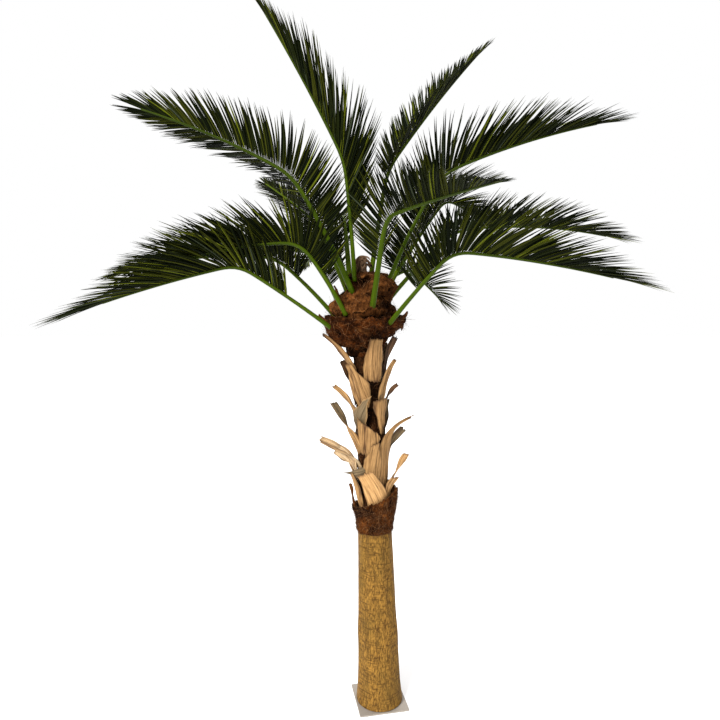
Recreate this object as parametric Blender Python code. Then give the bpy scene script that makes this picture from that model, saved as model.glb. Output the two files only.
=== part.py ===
"""Artificial palm standing on a square steel floor plate.

A moulded trunk shell carries a coir-wrapped core.  Dried palm boots cover the
core, a ragged coir cuff closes the joint with the shell, and sixteen plastic
feather fronds plug into the two tiers of a coir head.

Metres, +Z up, origin at the centre of the plate's underside.  The side that
faces -Y is the front.  Bearings are counted in degrees from +X towards +Y.
"""
import math
import random

import bmesh
import bpy
from mathutils import Matrix, Vector
from mathutils.bvhtree import BVHTree

# ---------------------------------------------------------------- driving sizes
FIT = 0.0003                 # gap left between two pieces that touch

PLATE_SIDE = 0.27            # square steel plate
PLATE_THICK = 0.008
PLATE_TURN = 11.0            # the plate sits a little askew under the trunk

LEAN_STRAIGHT = 0.024        # the whole stem leans towards -X ...
LEAN_CURVE = 0.0055          # ... and a little more with height

SHELL_TOP = 0.972            # top of the moulded trunk
SHELL_FOOT_RADIUS = 0.1255
SHELL_TOP_RADIUS = 0.0905

CORE_RADIUS = 0.078          # coir-wrapped post inside the boots
CORE_TOP = 2.045

CUFF_RIM = 1.180             # mean height of the frayed rim
CUFF_RIM_WAVE = 0.040        # the rim is high at both sides, low front and back
CUFF_RIM_RADIUS = 0.137
CUFF_WALL = 0.010

HEAD_LOWER_FOOT = 2.010
HEAD_LOWER_RADIUS = 0.222
HEAD_SPLIT = 2.135           # dark joint between the two tiers
HEAD_UPPER_RADIUS = 0.165
HEAD_TOP = 2.362

STEM_HALF_WIDTH = 0.0160     # frond stem at its socket
TIP_HALF_WIDTH = 0.0045
STEM_DEPTH_SHARE = 0.75      # depth of a stem as a share of its width
SOCKET_DEPTH = 0.060         # how far a stem goes into the head
SOCKET_CLEAR = 0.0005

LEAFLETS_PER_SIDE = 14
LEAFLET_LENGTH = 0.31        # longest leaflet
LEAFLET_WIDTH = 0.050
LEAFLET_THICK = 0.0042
LAST_LEAFLET = 0.98          # share of the frond's length at its last leaflets
LEAFLET_CLEAR = 0.0008       # air kept round a leaflet

BOOT_THICK = 0.0065
ROUND_SEGMENTS = 28

random.seed(12)

# --------------------------------------------------------------- scene, helpers
for old in list(bpy.data.objects):
    bpy.data.objects.remove(old, do_unlink=True)


def new_collection(name):
    """A collection of that name, linked to the scene."""
    group = bpy.data.collections.new(name)
    bpy.context.scene.collection.children.link(group)
    return group


palm = new_collection("artificial_palm")
cutters = new_collection("cutters")
cutters.hide_render = True


def material(name, colour, roughness, metallic=0.0):
    """A plain Principled material."""
    made = bpy.data.materials.new(name)
    made.use_nodes = True
    shader = made.node_tree.nodes["Principled BSDF"]
    shader.inputs["Base Color"].default_value = (*colour, 1.0)
    shader.inputs["Roughness"].default_value = roughness
    shader.inputs["Metallic"].default_value = metallic
    return made


def add_object(name, mesh, group=palm, finish=None):
    """An object for the mesh, in the group, wearing the finish."""
    made = bpy.data.objects.new(name, mesh)
    group.objects.link(made)
    if finish:
        mesh.materials.clear()
        mesh.materials.append(finish)
    if group is cutters:
        made.display_type = "WIRE"
        made.hide_render = True
    return made


def mesh_from(name, points, faces):
    """A mesh from points and faces, its normals turned outward."""
    shape = bmesh.new()
    corners = [shape.verts.new(p) for p in points]
    for face in faces:
        shape.faces.new([corners[i] for i in face])
    if shape.calc_volume(signed=True) < 0:
        bmesh.ops.reverse_faces(shape, faces=shape.faces)
    mesh = bpy.data.meshes.new(name)
    shape.to_mesh(mesh)
    shape.free()
    return mesh


def loft(rings):
    """Points and faces of a closed body through rings of equal length."""
    points = [p for ring in rings for p in ring]
    count = len(rings[0])
    faces = []
    for k in range(len(rings) - 1):
        for i in range(count):
            j = (i + 1) % count
            low, high = k * count, (k + 1) * count
            faces.append((low + i, low + j, high + j, high + i))
    faces.append(tuple(reversed(range(count))))
    last = (len(rings) - 1) * count
    faces.append(tuple(last + i for i in range(count)))
    return points, faces


def stem_axis(z):
    """Where the leaning stem's axis is at height z."""
    return Vector((-(LEAN_STRAIGHT * z + LEAN_CURVE * z * z), 0.0, z))


def turned(name, profile, segments, finish, shape_radius=None, shape_height=None):
    """A body turned from (radius, height) points about the leaning axis.

    The profile runs from the axis, or closes on itself when no point is on it.
    shape_radius(bearing, index) and shape_height(bearing, index) make it uneven.
    """
    shape = bmesh.new()
    on_axis = profile[0][0] == 0.0
    rings = []
    for index, (radius, height) in enumerate(profile):
        if radius == 0.0:
            rings.append([shape.verts.new(stem_axis(height))])
            continue
        ring = []
        for k in range(segments):
            bearing = 2 * math.pi * k / segments
            r = radius * (shape_radius(bearing, index) if shape_radius else 1.0)
            z = height + (shape_height(bearing, index) if shape_height else 0.0)
            ring.append(shape.verts.new(stem_axis(z) + Vector(
                (r * math.cos(bearing), r * math.sin(bearing), 0.0))))
        rings.append(ring)
    pairs = list(zip(rings, rings[1:]))
    if not on_axis:
        pairs.append((rings[-1], rings[0]))
    for low, high in pairs:
        for k in range(segments):
            j = (k + 1) % segments
            corners = [low[k % len(low)], low[j % len(low)],
                       high[j % len(high)], high[k % len(high)]]
            corners = list(dict.fromkeys(corners))
            shape.faces.new(corners)
    bmesh.ops.recalc_face_normals(shape, faces=shape.faces)
    mesh = bpy.data.meshes.new(name)
    shape.to_mesh(mesh)
    shape.free()
    return add_object(name, mesh, palm, finish)


def boolean(target, operation, others, solver):
    """Joins or cuts the target with every object of a temporary collection."""
    group = bpy.data.collections.new("boolean_set")
    for other in others:
        group.objects.link(other)
    step = target.modifiers.new("boolean", "BOOLEAN")
    step.operation = operation
    step.operand_type = "COLLECTION"
    step.collection = group
    step.solver = solver
    bpy.context.view_layer.update()
    graph = bpy.context.evaluated_depsgraph_get()
    mesh = bpy.data.meshes.new_from_object(target.evaluated_get(graph))
    target.modifiers.remove(step)
    target.data = mesh
    bpy.data.collections.remove(group)
    for other in list(others):
        bpy.data.objects.remove(other, do_unlink=True)


# -------------------------------------------------------------------- finishes
steel_paint = material("plate_paint", (0.46, 0.39, 0.31), 0.55)
trunk_finish = material("moulded_trunk", (0.38, 0.23, 0.07), 0.75)
coir_dark = material("coir_dark", (0.10, 0.035, 0.015), 0.95)
coir_brown = material("coir_brown", (0.17, 0.065, 0.025), 0.95)
boot_finish = material("dried_boot", (0.55, 0.33, 0.13), 0.8)
frond_finish = material("frond_plastic", (0.025, 0.045, 0.008), 0.5)

# ------------------------------------------------------------------ floor plate
bpy.ops.mesh.primitive_cube_add(size=1.0, location=(0, 0, 0))
plate = bpy.context.active_object
plate.name = plate.data.name = "base_plate"
for owner in list(plate.users_collection):
    owner.objects.unlink(plate)
palm.objects.link(plate)
plate.data.transform(
    Matrix.Rotation(math.radians(PLATE_TURN), 4, "Z")
    @ Matrix.Translation((0, 0, PLATE_THICK / 2))
    @ Matrix.Diagonal((PLATE_SIDE, PLATE_SIDE, PLATE_THICK, 1)))
plate.data.materials.clear()
plate.data.materials.append(steel_paint)

# ------------------------------------------------- moulded lower trunk, a shell
SHELL_FOOT = PLATE_THICK + FIT
SHELL_WAIST = 0.40           # height where the slight belly ends


def shell_radius(z):
    """Radius of the moulded trunk: a straight taper, a belly and a foot flare."""
    rise = (z - SHELL_FOOT) / (SHELL_TOP - SHELL_FOOT)
    straight = SHELL_FOOT_RADIUS * 0.955 + (SHELL_TOP_RADIUS - SHELL_FOOT_RADIUS * 0.955) * rise
    flare = 0.045 * SHELL_FOOT_RADIUS * math.exp(-z / 0.09)
    belly = 0.0035 * math.exp(-((z - SHELL_WAIST) / 0.07) ** 2)
    return straight + flare + belly


shell_profile = [(0.0, SHELL_FOOT), (SHELL_FOOT_RADIUS - 0.009, SHELL_FOOT)]
for z in (0.018, 0.05, 0.11, 0.22, 0.32, 0.37, 0.40, 0.43, 0.48, 0.60, 0.75, 0.88):
    shell_profile.append((shell_radius(z), z))
shell_profile += [(SHELL_TOP_RADIUS, SHELL_TOP - 0.004),
                  (SHELL_TOP_RADIUS - 0.004, SHELL_TOP), (0.0, SHELL_TOP)]
turned("trunk_shell", shell_profile, 32, trunk_finish)

# ------------------------------------------------ upper core, wrapped with coir
CORE_FOOT = SHELL_TOP + FIT
core_profile = [(0.0, CORE_FOOT), (CORE_RADIUS, CORE_FOOT)]
core_profile += [(CORE_RADIUS, z) for z in (1.15, 1.35, 1.55, 1.75, 1.90)]
core_profile += [(CORE_RADIUS, CORE_TOP), (0.0, CORE_TOP)]
core = turned("trunk_core", core_profile, ROUND_SEGMENTS, coir_dark)

# ---------------------------------------- frayed coir cuff over the trunk joint
CUFF_BORE = CORE_RADIUS + SOCKET_CLEAR
cuff_profile = [
    (CUFF_BORE, CORE_FOOT),
    (SHELL_TOP_RADIUS + 0.001, CORE_FOOT),
    (SHELL_TOP_RADIUS + 0.006, CORE_FOOT + 0.012),
    (SHELL_TOP_RADIUS + 0.012, 1.04),
    (SHELL_TOP_RADIUS + 0.022, 1.10),
    (CUFF_RIM_RADIUS, CUFF_RIM),
    (CUFF_RIM_RADIUS - CUFF_WALL * 0.6, CUFF_RIM + 0.001),
    (SHELL_TOP_RADIUS + 0.013, 1.10),
    (CORE_RADIUS + 0.010, 1.05),
    (CUFF_BORE, 1.04),
]
CUFF_RIM_POINTS = (5, 6)
rim_fray = [random.uniform(-0.009, 0.009) for _ in range(ROUND_SEGMENTS)]


def cuff_height(bearing, index):
    """The rim waves round the trunk and is frayed."""
    if index not in CUFF_RIM_POINTS:
        return 0.0
    k = round(bearing / (2 * math.pi) * ROUND_SEGMENTS) % ROUND_SEGMENTS
    return CUFF_RIM_WAVE * math.cos(2 * bearing) + rim_fray[k]


turned("coir_cuff", cuff_profile, ROUND_SEGMENTS, coir_dark, None, cuff_height)

# ------------------------------------------------------- coir head in two tiers
HEAD_LUMP = 0.05             # unevenness of the wrapped coir, share of radius


def lumpy(seed_turn):
    """Uneven radius for a wrapped tier; seed_turn sets where its lumps are."""
    def radius_share(bearing, index):
        if index < 3:
            return 1.0
        return 1.0 + HEAD_LUMP * (0.5 * math.sin(5 * bearing + seed_turn + index)
                                  + 0.5 * math.sin(8 * bearing - 2 * seed_turn))
    return radius_share


lower_profile = [
    (0.0, CORE_TOP + FIT),
    (CUFF_BORE, CORE_TOP + FIT),
    (CUFF_BORE, HEAD_LOWER_FOOT),
    (0.092, HEAD_LOWER_FOOT),
    (0.130, 2.011),
    (0.162, 2.020),
    (0.202, 2.052),
    (HEAD_LOWER_RADIUS, 2.100),
    (0.205, 2.124),
    (0.130, HEAD_SPLIT - 0.002),
    (0.0, HEAD_SPLIT),
]
head_lower = turned("coir_head_lower", lower_profile, ROUND_SEGMENTS, coir_brown, lumpy(0.7))

upper_profile = [
    (0.0, HEAD_SPLIT + FIT),
    (0.100, HEAD_SPLIT + FIT),
    (0.128, 2.150),
    (0.150, 2.200),
    (HEAD_UPPER_RADIUS, 2.262),
    (0.160, 2.300),
    (0.135, 2.335),
    (0.080, 2.352),
    (0.0, HEAD_TOP),
]
head_upper = turned("coir_head_upper", upper_profile, ROUND_SEGMENTS, coir_brown, lumpy(2.1))

# a curled tuft of matting that stands up from the top of the head
TUFT_FOOT = (-0.045, -0.030, 2.335)
TUFT_HEIGHT = 0.085
TUFT_CURL = 0.045
tuft_rings = []
for step in range(5):
    share = step / 4
    radius = 0.020 * (1 - 0.8 * share)
    centre = stem_axis(TUFT_FOOT[2]) + Vector((
        TUFT_FOOT[0] + TUFT_CURL * share * share, TUFT_FOOT[1], TUFT_HEIGHT * share))
    tuft_rings.append([centre + Vector((1.3 * radius * math.cos(a), radius * math.sin(a), 0.0))
                       for a in (2 * math.pi * k / 6 for k in range(6))])
tuft = add_object("tuft", mesh_from("tuft", *loft(tuft_rings)), cutters)
boolean(head_upper, "UNION", [tuft], "MANIFOLD")

# ------------------------------------------------------------------ frond curve
# bearing  which way the frond goes out
# rise     slope of the stem at its socket
# arch     slope lost evenly from socket to tip
# bend     slope lost at the elbow, over the stretch called soft
# elbow    where the elbow is, as a share of the length
# turn     how far the bearing swings past the elbow
# height, reach, seat   where the stem leaves the head: height, radius, bearing
# leaf     length of its leaflets, as a share of the longest kind
# tip      how much longer the leaflets are at the tip
# bare     share of the length that has no leaflets
# open     how wide its leaflets open, as a share of the usual angle
FROND_KEYS = ("bearing", "rise", "arch", "bend", "elbow", "turn", "roll",
              "height", "reach", "seat", "length", "leaf", "tip", "bare", "open")
FRONDS = {
    "frond_01": (185, 87, 10, 19, 0.42, 0, 0, 2.335, 0.09, 235, 1.33, 1.2, 0.8, 0.18, 0.57),
    "frond_02": (36, 81, 11, 26, 0.35, 0, 0, 2.34, 0.065, 55, 1.59, 0.76, 1.2, 0.33, 0.65),
    "frond_03": (190, 67, 24, 28, 0.45, 0, 50, 2.285, 0.127, 231, 1.33, 0.95, 0.9, 0.18, 1.0),
    "frond_04": (133, 58, 9, 22, 0.45, 0, -40, 2.25, 0.09, 183, 1.00, 0.7, 1.0, 0.18, 1.0),
    "frond_05": (200, 62, 33, 52, 0.34, -20, 0, 2.14, 0.17, 232, 1.20, 1.0, 1.0, 0.18, 1.0),
    "frond_06": (172, 49, 32, 33, 0.32, 0, 0, 2.143, 0.18, 178, 1.28, 0.95, 1.0, 0.20, 1.0),
    "frond_07": (195, 37, 12.5, 44.5, 0.47, 0, 0, 2.06, 0.19, 205, 1.20, 1.05, 1.6, 0.24, 0.75),
    "frond_08": (290, 69, 5, 66, 0.315, 0, 0, 2.18, 0.16, 282, 1.36, 0.95, 0.5, 0.17, 0.9),
    "frond_09": (335, 50, 14, 50, 0.38, 20, 0, 2.10, 0.188, 309, 1.19, 1.0, 1.5, 0.18, 1.0),
    "frond_10": (35, 55, 13, 62, 0.65, 0, 0, 2.26, 0.13, 28, 1.00, 0.8, 1.0, 0.12, 1.0),
    "frond_11": (345, 68, 23, 34, 0.435, 15, 0, 2.285, 0.12, 340, 1.38, 1.0, 1.2, 0.27, 0.9),
    "frond_12": (14, 49, 26, 32, 0.35, 0, 0, 2.23, 0.15, 20, 1.42, 0.85, 1.6, 0.27, 1.0),
    "frond_13": (45, 26, 20, 50, 0.50, -20, 0, 2.28, 0.14, 62, 0.55, 0.75, 1.0, 0.36, 1.7),
    "frond_14": (110, 56, 28, 44, 0.38, 0, 0, 2.19, 0.15, 120, 1.15, 0.8, 1.0, 0.30, 1.0),
    "frond_15": (125, 50, 22, 30, 0.38, 0, 0, 2.16, 0.16, 145, 1.12, 0.8, 1.0, 0.15, 1.0),
    "frond_16": (98, 60, 23, 38, 0.41, 0, 0, 2.31, 0.09, 150, 1.05, 0.7, 1.0, 0.30, 0.8),
}
ELBOW_SOFT = 0.16
TURN_SOFT = 0.40
FINE_STEPS = 48


def ease(x):
    """Smooth step from 0 to 1."""
    x = min(max(x, 0.0), 1.0)
    return x * x * (3 - 2 * x)


def frond_frames(frond):
    """Point, direction, side and upper normal at every fine step of a rib."""
    seat = math.radians(frond["seat"])
    point = stem_axis(frond["height"]) + Vector(
        (frond["reach"] * math.cos(seat), frond["reach"] * math.sin(seat), 0.0))
    frames = []
    for k in range(FINE_STEPS + 1):
        s = k / FINE_STEPS
        slope = math.radians(frond["rise"] - frond["arch"] * s
                             - frond["bend"] * ease((s - frond["elbow"]) / ELBOW_SOFT + 0.5))
        bearing = math.radians(frond["bearing"]
                               + frond["turn"] * ease((s - frond["elbow"]) / TURN_SOFT + 0.5))
        ahead = Vector((math.cos(slope) * math.cos(bearing),
                        math.cos(slope) * math.sin(bearing), math.sin(slope)))
        side = Vector((-math.sin(bearing), math.cos(bearing), 0.0))
        roll = Matrix.Rotation(math.radians(frond["roll"]), 3, ahead)
        upper = roll @ ahead.cross(side)
        side = roll @ side
        if k:
            point = point + (ahead + frames[-1][1]).normalized() * frond["length"] / FINE_STEPS
        frames.append((point, ahead, side, upper))
    return frames


def frame_at(frames, s):
    """The frame at share s of the length, between two fine steps."""
    place = min(max(s, 0.0), 1.0) * FINE_STEPS
    k = min(int(place), FINE_STEPS - 1)
    part = place - k
    return [a.lerp(b, part) for a, b in zip(frames[k], frames[k + 1])]


def along(value, table):
    """Reads a short table of (share, value) pairs with straight lines between."""
    for (x0, y0), (x1, y1) in zip(table, table[1:]):
        if value <= x1:
            return y0 + (y1 - y0) * max(value - x0, 0.0) / (x1 - x0)
    return table[-1][1]


STEM_STATIONS = (0.0, 0.06, 0.12)      # the part a socket follows
BLADE_STATIONS = (0.3, 0.4, 0.5, 0.6, 0.7, 0.8, 0.9, 1.0)
ELBOW_STATIONS = (-0.5, -0.22, 0.0, 0.22, 0.5)


def rib_stations(elbow):
    """Shares of the length where the rib has a section, closer at its elbow."""
    bent = [elbow + ELBOW_SOFT * k for k in ELBOW_STATIONS]
    plain = [s for s in BLADE_STATIONS if min(abs(s - b) for b in bent) > 0.05]
    return sorted(list(STEM_STATIONS) + bent + plain)


def rib_section(frame, half_width, grow=0.0):
    """Four corners of a rib: both sides, ridge and keel."""
    point, _, side, upper = frame
    wide = half_width + grow
    deep = half_width * STEM_DEPTH_SHARE + grow
    return [point + side * wide, point + upper * deep, point - side * wide, point - upper * deep]


def half_width_at(s):
    """Half the width of the rib, which tapers along its length."""
    return STEM_HALF_WIDTH + (TIP_HALF_WIDTH - STEM_HALF_WIDTH) * s ** 0.8


def rib_mesh(name, frames, elbow):
    """The rib from the bottom of its socket to its tip."""
    point, ahead, side, upper = frames[0]
    buried = (point - ahead * SOCKET_DEPTH, ahead, side, upper)
    rings = [rib_section(buried, half_width_at(0.0))]
    rings += [rib_section(frame_at(frames, s), half_width_at(s)) for s in rib_stations(elbow)]
    return mesh_from(name, *loft(rings))


def socket_mesh(name, frames):
    """The hole a stem needs in the head: its own sweep, a little wider."""
    point, ahead, side, upper = frames[0]
    buried = (point - ahead * (SOCKET_DEPTH + FIT), ahead, side, upper)
    rings = [rib_section(buried, half_width_at(0.0), 1.6 * SOCKET_CLEAR)]
    rings += [rib_section(frame_at(frames, s), half_width_at(s), 1.6 * SOCKET_CLEAR)
              for s in STEM_STATIONS]
    return mesh_from(name, *loft(rings))


# leaflet angles from the rib, their lift off its sides, and their lengths
LEAFLET_OPEN = ((0.0, 76), (0.3, 66), (0.7, 44), (1.0, 12))
LEAFLET_LIFT = ((0.0, 50), (0.6, 42), (1.0, 20))
LEAFLET_SHARE = ((0.0, 0.55), (0.06, 0.8), (0.2, 1.0), (0.55, 0.95), (0.8, 0.72), (1.0, 0.5))
LEAFLET_SAG = 0.06
LEAFLET_SWEEP = 0.10
LEAFLET_WIDEST = 0.38


def leaflet(frame, u, hand, frond, grow=0.0):
    """Points and faces of one leaflet: a flat eight-faced blade."""
    point, ahead, side, upper = frame
    opening = math.radians(along(u, LEAFLET_OPEN) * frond["open"])
    lift = math.radians(along(u, LEAFLET_LIFT))
    length = LEAFLET_LENGTH * frond["leaf"] * along(u, LEAFLET_SHARE)
    length *= 1.0 + (frond["tip"] - 1.0) * u ** 4
    outward = side * (hand * math.cos(lift)) + upper * math.sin(lift)
    way = ahead * math.cos(opening) + outward * math.sin(opening)

    def spine(share):
        bow = Vector((0, 0, -LEAFLET_SAG)) + ahead * LEAFLET_SWEEP
        return point + way * (length * share) + bow * (length * share * share)

    across = (ahead - way * ahead.dot(way)).normalized()
    flat = way.cross(across)
    half = LEAFLET_WIDTH / 2 * (0.55 + 0.45 * length / LEAFLET_LENGTH) + grow
    thick = LEAFLET_THICK / 2 + grow
    middle = spine(LEAFLET_WIDEST)
    points = [spine(0.0), middle + across * half, middle + flat * thick,
              middle - across * half, middle - flat * thick, spine(1.0)]
    faces = [(0, 1, 2), (0, 2, 3), (0, 3, 4), (0, 4, 1),
             (5, 2, 1), (5, 3, 2), (5, 4, 3), (5, 1, 4)]
    return points, faces


def tree_of(mesh):
    """Search tree of a mesh's faces."""
    return BVHTree.FromPolygons([v.co.copy() for v in mesh.vertices],
                                [tuple(f.vertices) for f in mesh.polygons])


# ------------------------------------------------------------------ palm boots
# A boot is the dried foot of a cut frond: a pointed or square lower end that
# lies on the core, a broad cupped middle and a narrow stub that leans away.
# The twist turns the stub about its own length.
BOOT_KEYS = ("bearing", "foot", "rise", "foot_width", "wide", "top_width", "lean", "yaw",
             "twist")
BOOTS = {
    "boot_01": (207, 1.82, 0.215, 0.03, 0.086, 0.028, 0.165, -6, 40),
    "boot_02": (284, 1.78, 0.225, 0.086, 0.106, 0.062, 0.014, 4, 0),
    "boot_03": (246, 1.65, 0.225, 0.03, 0.128, 0.03, 0.04, -20, 10),
    "boot_04": (312, 1.69, 0.22, 0.04, 0.062, 0.022, 0.055, 12, -25),
    "boot_05": (206, 1.58, 0.17, 0.026, 0.06, 0.024, 0.095, -10, 55),
    "boot_06": (356, 1.67, 0.14, 0.03, 0.056, 0.024, 0.07, 6, -60),
    "boot_07": (216, 1.39, 0.27, 0.03, 0.076, 0.034, 0.11, -12, -55),
    "boot_08": (308, 1.53, 0.17, 0.034, 0.084, 0.06, 0.03, -12, 0),
    "boot_09": (263, 1.41, 0.14, 0.04, 0.078, 0.05, 0.02, 0, 0),
    "boot_10": (214, 1.31, 0.16, 0.036, 0.066, 0.034, 0.19, -6, -50),
    "boot_11": (180, 1.265, 0.17, 0.04, 0.07, 0.056, 0.11, -2, 40),
    "boot_12": (322, 1.24, 0.35, 0.036, 0.06, 0.02, 0.165, 8, -30),
    "boot_13": (2, 1.37, 0.17, 0.03, 0.064, 0.03, 0.09, -4, 60),
    "boot_14": (2, 1.2, 0.17, 0.03, 0.064, 0.03, 0.12, -6, -55),
    "boot_15": (270, 1.24, 0.21, 0.07, 0.088, 0.066, 0.026, -2, 0),
    "boot_16": (297, 1.095, 0.19, 0.084, 0.104, 0.058, 0.05, -34, 0),
    "boot_17": (216, 1.11, 0.17, 0.04, 0.07, 0.036, 0.04, 0, 0),
    "boot_18": (354, 1.11, 0.12, 0.05, 0.07, 0.06, 0.03, 0, -20),
    "boot_19": (41, 1.785, 0.2, 0.03, 0.09, 0.034, 0.06, 8, 25),
    "boot_20": (110, 1.74, 0.22, 0.03, 0.1, 0.04, 0.04, -6, -15),
    "boot_21": (160, 1.6, 0.22, 0.028, 0.086, 0.03, 0.07, -8, 30),
    "boot_22": (75, 1.54, 0.24, 0.03, 0.1, 0.032, 0.05, 6, -20),
    "boot_23": (48, 1.47, 0.2, 0.028, 0.07, 0.03, 0.08, 6, 35),
    "boot_24": (125, 1.36, 0.24, 0.03, 0.098, 0.034, 0.05, -6, 20),
    "boot_25": (60, 1.24, 0.24, 0.034, 0.096, 0.034, 0.05, 4, -25),
    "boot_26": (160, 1.15, 0.2, 0.034, 0.086, 0.036, 0.05, 0, 0),
    "boot_27": (104, 1.09, 0.2, 0.034, 0.096, 0.038, 0.04, 0, -15),
    "boot_28": (44, 1.11, 0.12, 0.034, 0.066, 0.036, 0.03, 0, 20),
    "boot_29": (252, 1.56, 0.15, 0.044, 0.054, 0.03, 0.05, 10, 0),
}
BOOT_STATIONS = (0.0, 0.18, 0.42, 0.66, 0.84, 1.0)
BOOT_CUP = (-1.0, -0.5, 0.0, 0.5, 1.0)
BOOT_RISE_POWER = 2.2        # how late a boot leaves the core


def boot_width(boot, s):
    """Width of a boot: foot, broad middle, narrow stub."""
    return along(s, ((0.0, boot["foot_width"]), (0.36, boot["wide"]),
                     (0.52, boot["wide"] * 0.94), (0.82, boot["top_width"] * 1.15),
                     (1.0, boot["top_width"])))


def boot_mesh(name, boot):
    """A cupped blade lofted from foot to stub."""
    rings = []
    bent = math.cos(boot["wide"] / 2 / CORE_RADIUS / (len(BOOT_CUP) - 1))
    for s in BOOT_STATIONS:
        z = boot["foot"] + boot["rise"] * s
        away = boot["lean"] * s ** BOOT_RISE_POWER
        slope = math.atan2(boot["lean"] * BOOT_RISE_POWER * s ** (BOOT_RISE_POWER - 1), boot["rise"])
        middle = math.radians(boot["bearing"] + boot["yaw"] * s)
        half = boot_width(boot, s) / 2
        hug = (CORE_RADIUS + 0.8 * FIT) / bent
        cup = hug + 0.5 * away
        inner, outer = [], []
        for c in BOOT_CUP:
            swing = middle + c * half / cup
            out = Vector((math.cos(swing), math.sin(swing), 0.0))
            centre = stem_axis(z) + Vector((math.cos(middle), math.sin(middle), 0)) * (
                away + hug - cup)
            thick = BOOT_THICK * (1.0 - 0.55 * abs(c)) * (1.0 if s > 0.1 else 0.7)
            lift = Vector((0, 0, -math.sin(slope) * thick))
            inner.append(centre + out * cup)
            outer.append(centre + out * (cup + math.cos(slope) * thick) + lift)
        ahead = Vector((math.cos(middle) * math.sin(slope),
                        math.sin(middle) * math.sin(slope), math.cos(slope)))
        pivot = stem_axis(z) + Vector((math.cos(middle), math.sin(middle), 0)) * (away + hug)
        turn = Matrix.Rotation(math.radians(boot["twist"]) * ease((s - 0.40) / 0.5), 3, ahead)
        rings.append([pivot + turn @ (p - pivot) for p in outer + inner[::-1]])
    return mesh_from(name, *loft(rings))


for name, values in BOOTS.items():
    add_object(name, boot_mesh(name, dict(zip(BOOT_KEYS, values))), palm, boot_finish)

# -------------------------------------------------------------- fronds, sockets
fronds = {name: dict(zip(FROND_KEYS, values)) for name, values in FRONDS.items()}
all_frames = {name: frond_frames(frond) for name, frond in fronds.items()}

holes = [add_object("hole", socket_mesh("hole", frames), cutters) for frames in all_frames.values()]
more_holes = [add_object("hole", hole.data.copy(), cutters) for hole in holes]
boolean(head_lower, "DIFFERENCE", holes, "MANIFOLD")
boolean(head_upper, "DIFFERENCE", more_holes, "MANIFOLD")

rib_meshes = {name: rib_mesh(name, frames, fronds[name]["elbow"])
              for name, frames in all_frames.items()}
rib_trees = {name: tree_of(mesh) for name, mesh in rib_meshes.items()}
solid_trees = [tree_of(head_lower.data), tree_of(head_upper.data)]
placed = {name: [] for name in FRONDS}

for name, frames in all_frames.items():
    others = [tree for other, tree in rib_trees.items() if other != name]
    others += solid_trees
    for other, trees in placed.items():
        if other != name:
            others += trees
    parts = []
    for k in range(LEAFLETS_PER_SIDE):
        u = k / (LEAFLETS_PER_SIDE - 1)
        bare = fronds[name]["bare"]
        frame = frame_at(frames, bare + (LAST_LEAFLET - bare) * u)
        for hand in (-1, 1):
            room = BVHTree.FromPolygons(*leaflet(frame, u, hand, fronds[name], LEAFLET_CLEAR))
            if any(tree.overlap(room) for tree in others):
                continue
            placed[name].append(room)
            blade = mesh_from("leaflet", *leaflet(frame, u, hand, fronds[name]))
            parts.append(add_object("leaflet", blade, cutters))
    frond = add_object(name, rib_meshes[name], palm, frond_finish)
    kept = len(parts)
    boolean(frond, "UNION", parts, "MANIFOLD")
    frond.data.materials.clear()
    frond.data.materials.append(frond_finish)
    print(name, "leaflets kept", kept, "faces", len(frond.data.polygons))
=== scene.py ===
"""Artificial palm with a moulded trunk, dried boots, a coir head and plastic fronds.

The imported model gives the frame: metres, +Z up, origin under the middle of the
floor plate, front towards -Y.  Bearings turn from +X towards +Y.  Each section
below makes one part of the palm, in the order in which the palm is put together.
"""

import math

import bmesh
import bpy
from mathutils import Matrix, Vector, noise


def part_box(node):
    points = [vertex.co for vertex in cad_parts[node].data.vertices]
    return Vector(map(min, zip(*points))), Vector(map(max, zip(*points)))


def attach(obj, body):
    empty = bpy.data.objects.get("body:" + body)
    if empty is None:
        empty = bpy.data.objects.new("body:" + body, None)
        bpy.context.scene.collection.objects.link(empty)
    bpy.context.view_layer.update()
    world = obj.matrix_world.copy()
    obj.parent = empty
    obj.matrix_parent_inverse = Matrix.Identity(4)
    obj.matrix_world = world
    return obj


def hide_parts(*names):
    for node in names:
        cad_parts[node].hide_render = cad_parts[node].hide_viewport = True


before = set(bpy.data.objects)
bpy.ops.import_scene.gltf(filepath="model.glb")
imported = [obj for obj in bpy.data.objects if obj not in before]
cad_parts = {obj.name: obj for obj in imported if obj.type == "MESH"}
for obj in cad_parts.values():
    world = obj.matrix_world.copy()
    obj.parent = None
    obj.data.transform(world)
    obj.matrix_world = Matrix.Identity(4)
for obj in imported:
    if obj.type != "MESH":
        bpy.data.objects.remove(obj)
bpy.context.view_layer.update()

# ---------------------------------------------------------------- floor plate
# A square of sheet steel, cut and painted beige grey, its edges knocked off by
# hand.  It keeps the hollow trunk standing and lies a little askew under it.
PLATE_TURN = math.radians(11.0)
PLATE_CORNER = 0.004         # rounding of its four corners
PLATE_EDGE = 0.0007
PLATE_PAINT = (0.20, 0.172, 0.142)
PLATE_WORN = (0.27, 0.238, 0.200)
PLATE_DULL = (0.72, 0.70, 0.68)      # its shine where it is scuffed


def feed(tree, socket, value):
    """Links an input to another socket, or sets it to a plain value."""
    if isinstance(value, bpy.types.NodeSocket):
        tree.links.new(value, socket)
    else:
        socket.default_value = value


def add_node(tree, kind, inputs=None, **settings):
    """A node with its settings, its inputs linked to sockets or set to values."""
    node = tree.nodes.new(kind)
    for key, value in settings.items():
        setattr(node, key, value)
    for key, value in (inputs or {}).items():
        feed(tree, node.inputs[key], value)
    return node


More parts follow.
